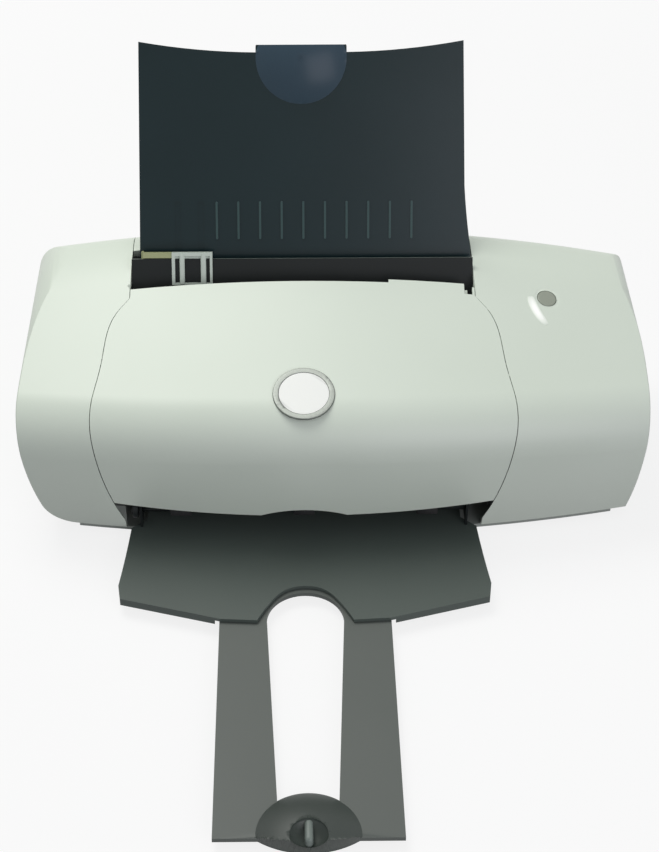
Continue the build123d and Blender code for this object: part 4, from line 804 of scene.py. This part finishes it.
# other turned and moulded pieces only need smoother shading: their body and angle
smoothSettings = {
    "carriage_rod": ("housing", 40),
    "carriage_motor": ("housing", 40),
    "feed_motor": ("housing", 40),
    "motor_pulley": ("belt_pulley_a", 40),
    "idler_pulley": ("belt_pulley_b", 40),
    "drive_belt": ("housing", 40),
    "exit_belt": ("housing", 40),
    "feed_pulley": ("feed_shaft", 40),
    "exit_pulley": ("exit_shaft", 40),
    "pinch_rollers": ("pinch_shaft", 40),
    "rubber_feet": ("housing", 40),
    "chassis_screws": ("housing", 40),
    "cover_hinge_pins": ("housing", 40),
    "carriage": ("print_carriage", 25),
    "left_latch": ("latch_a", 25),
    "right_latch": ("latch_b", 25),
    "head_caps": ("sled", 30),
}
# painted shade: the belt and pulley seen in the exit opening are painted black, so the opening renders as
# dark as its shade
shadePaintedPieces = ("exit_belt", "exit_pulley")  # seen in the exit opening, which is dark all through
for nodeName, (body, angle) in smoothSettings.items():
    finishName = "black_plastic" if nodeName in shadePaintedPieces else None
    smoothCopy(nodeName, body, slotOf[nodeName], angle, finishName)
print("small pieces smoothed")

# floor: it bounces little light, looks nearly white to the camera and keeps the object's shadow
floorSetup = {
    "size": 8.0,
    "seenColour": (0.86, 0.86, 0.86, 1),
    "bounceColour": (0.12, 0.12, 0.13, 1),
    "glow": 0.82,
    "shadowReach": 0.6,
    "whiteFrom": 1.6,
    "sockets": {"Roughness": 0.9, "Specular IOR Level": 0.1},
}
seenRays = ("Is Camera Ray", "Is Glossy Ray", "Is Transmission Ray")
white = (1, 1, 1, 1)
deselectAll()
bpy.ops.mesh.primitive_plane_add(size=floorSetup["size"], location=(0, 0, 0))
floor = bpy.context.object
floor.name = "floor"
floorFinish = Finish("paleFloor", floorSetup["sockets"])
cameraRay, glossyRay, clearRay = [floorFinish.add("ShaderNodeLightPath", {}, {}, kind) for kind in seenRays]
seen = cameraRay + glossyRay + clearRay
floorFinish.feed("Base Color", floorFinish.blend(floorSetup["bounceColour"], floorSetup["seenColour"], seen))
# away from the object the floor fades to the white of the sky
outward = floorFinish.add("ShaderNodeVectorMath", {"operation": "LENGTH"}, {0: floorFinish.place}, 1)
fade = {
    "Value": outward,
    "From Min": floorSetup["shadowReach"],
    "From Max": floorSetup["whiteFrom"],
    "To Min": floorSetup["glow"],
    "To Max": 1.0,
}
farShare = floorFinish.add("ShaderNodeMapRange", {"interpolation_type": "SMOOTHSTEP"}, fade)
lit = Signal(floorFinish, floorFinish.shader.outputs[0])
glow = floorFinish.add("ShaderNodeEmission", {}, {"Color": white, "Strength": 1.0})
mixed = floorFinish.add("ShaderNodeMixShader", {}, {0: seen * farShare, 1: lit, 2: glow})
floorFinish.tree.links.new(mixed.socket, floorFinish.tree.nodes["Material Output"].inputs["Surface"])
floor.data.materials.append(floorFinish.material)

# sky: soft light on the object, and white to the camera and in gloss
skySetup = {"colour": (0.93, 0.96, 1.0, 1), "strength": 0.34}
world = bpy.data.worlds.new("studio")
bpy.context.scene.world = world
world.use_nodes = True
sky = world.node_tree
background = sky.nodes["Background"]
background.inputs["Color"].default_value = skySetup["colour"]
background.inputs["Strength"].default_value = skySetup["strength"]
whiteSky = sky.nodes.new("ShaderNodeBackground")
whiteSky.inputs["Color"].default_value = white
whiteSky.inputs["Strength"].default_value = 1.0
rays = sky.nodes.new("ShaderNodeLightPath")
skySeen = rays.outputs[seenRays[0]]
for kind in seenRays[1:]:
    total = sky.nodes.new("ShaderNodeMath")
    sky.links.new(skySeen, total.inputs[0])
    sky.links.new(rays.outputs[kind], total.inputs[1])
    skySeen = total.outputs[0]
mixSky = sky.nodes.new("ShaderNodeMixShader")
for number, socket in enumerate((skySeen, background.outputs[0], whiteSky.outputs[0])):
    sky.links.new(socket, mixSky.inputs[number])
sky.links.new(mixSky.outputs[0], sky.nodes["World Output"].inputs["Surface"])

# lamps, in metres and watts, both turned towards the object
lampTarget = (0, 0, 0.08)
lampSetup = {
    "keyLamp": {"place": (-0.42, 0.58, 1.42), "size": 0.9, "power": 13.5, "colour": (1.0, 0.995, 0.95)},
    "fillLamp": {"place": (0.8, -1.5, 0.65), "size": 1.2, "power": 11.2, "colour": (0.96, 0.93, 1.0)},
}
for name, lamp in lampSetup.items():
    lampData = bpy.data.lights.new(name, "AREA")
    lampData.energy = lamp["power"]
    lampData.size = lamp["size"]
    lampData.color = lamp["colour"]
    lampObject = bpy.data.objects.new(name, lampData)
    bpy.context.scene.collection.objects.link(lampObject)
    lampObject.location = lamp["place"]
    toward = Vector(lampTarget) - Vector(lamp["place"])
    lampObject.rotation_euler = toward.to_track_quat("-Z", "Y").to_euler()
bpy.context.scene.view_settings.view_transform = "Standard"
print("stage and lamps set")
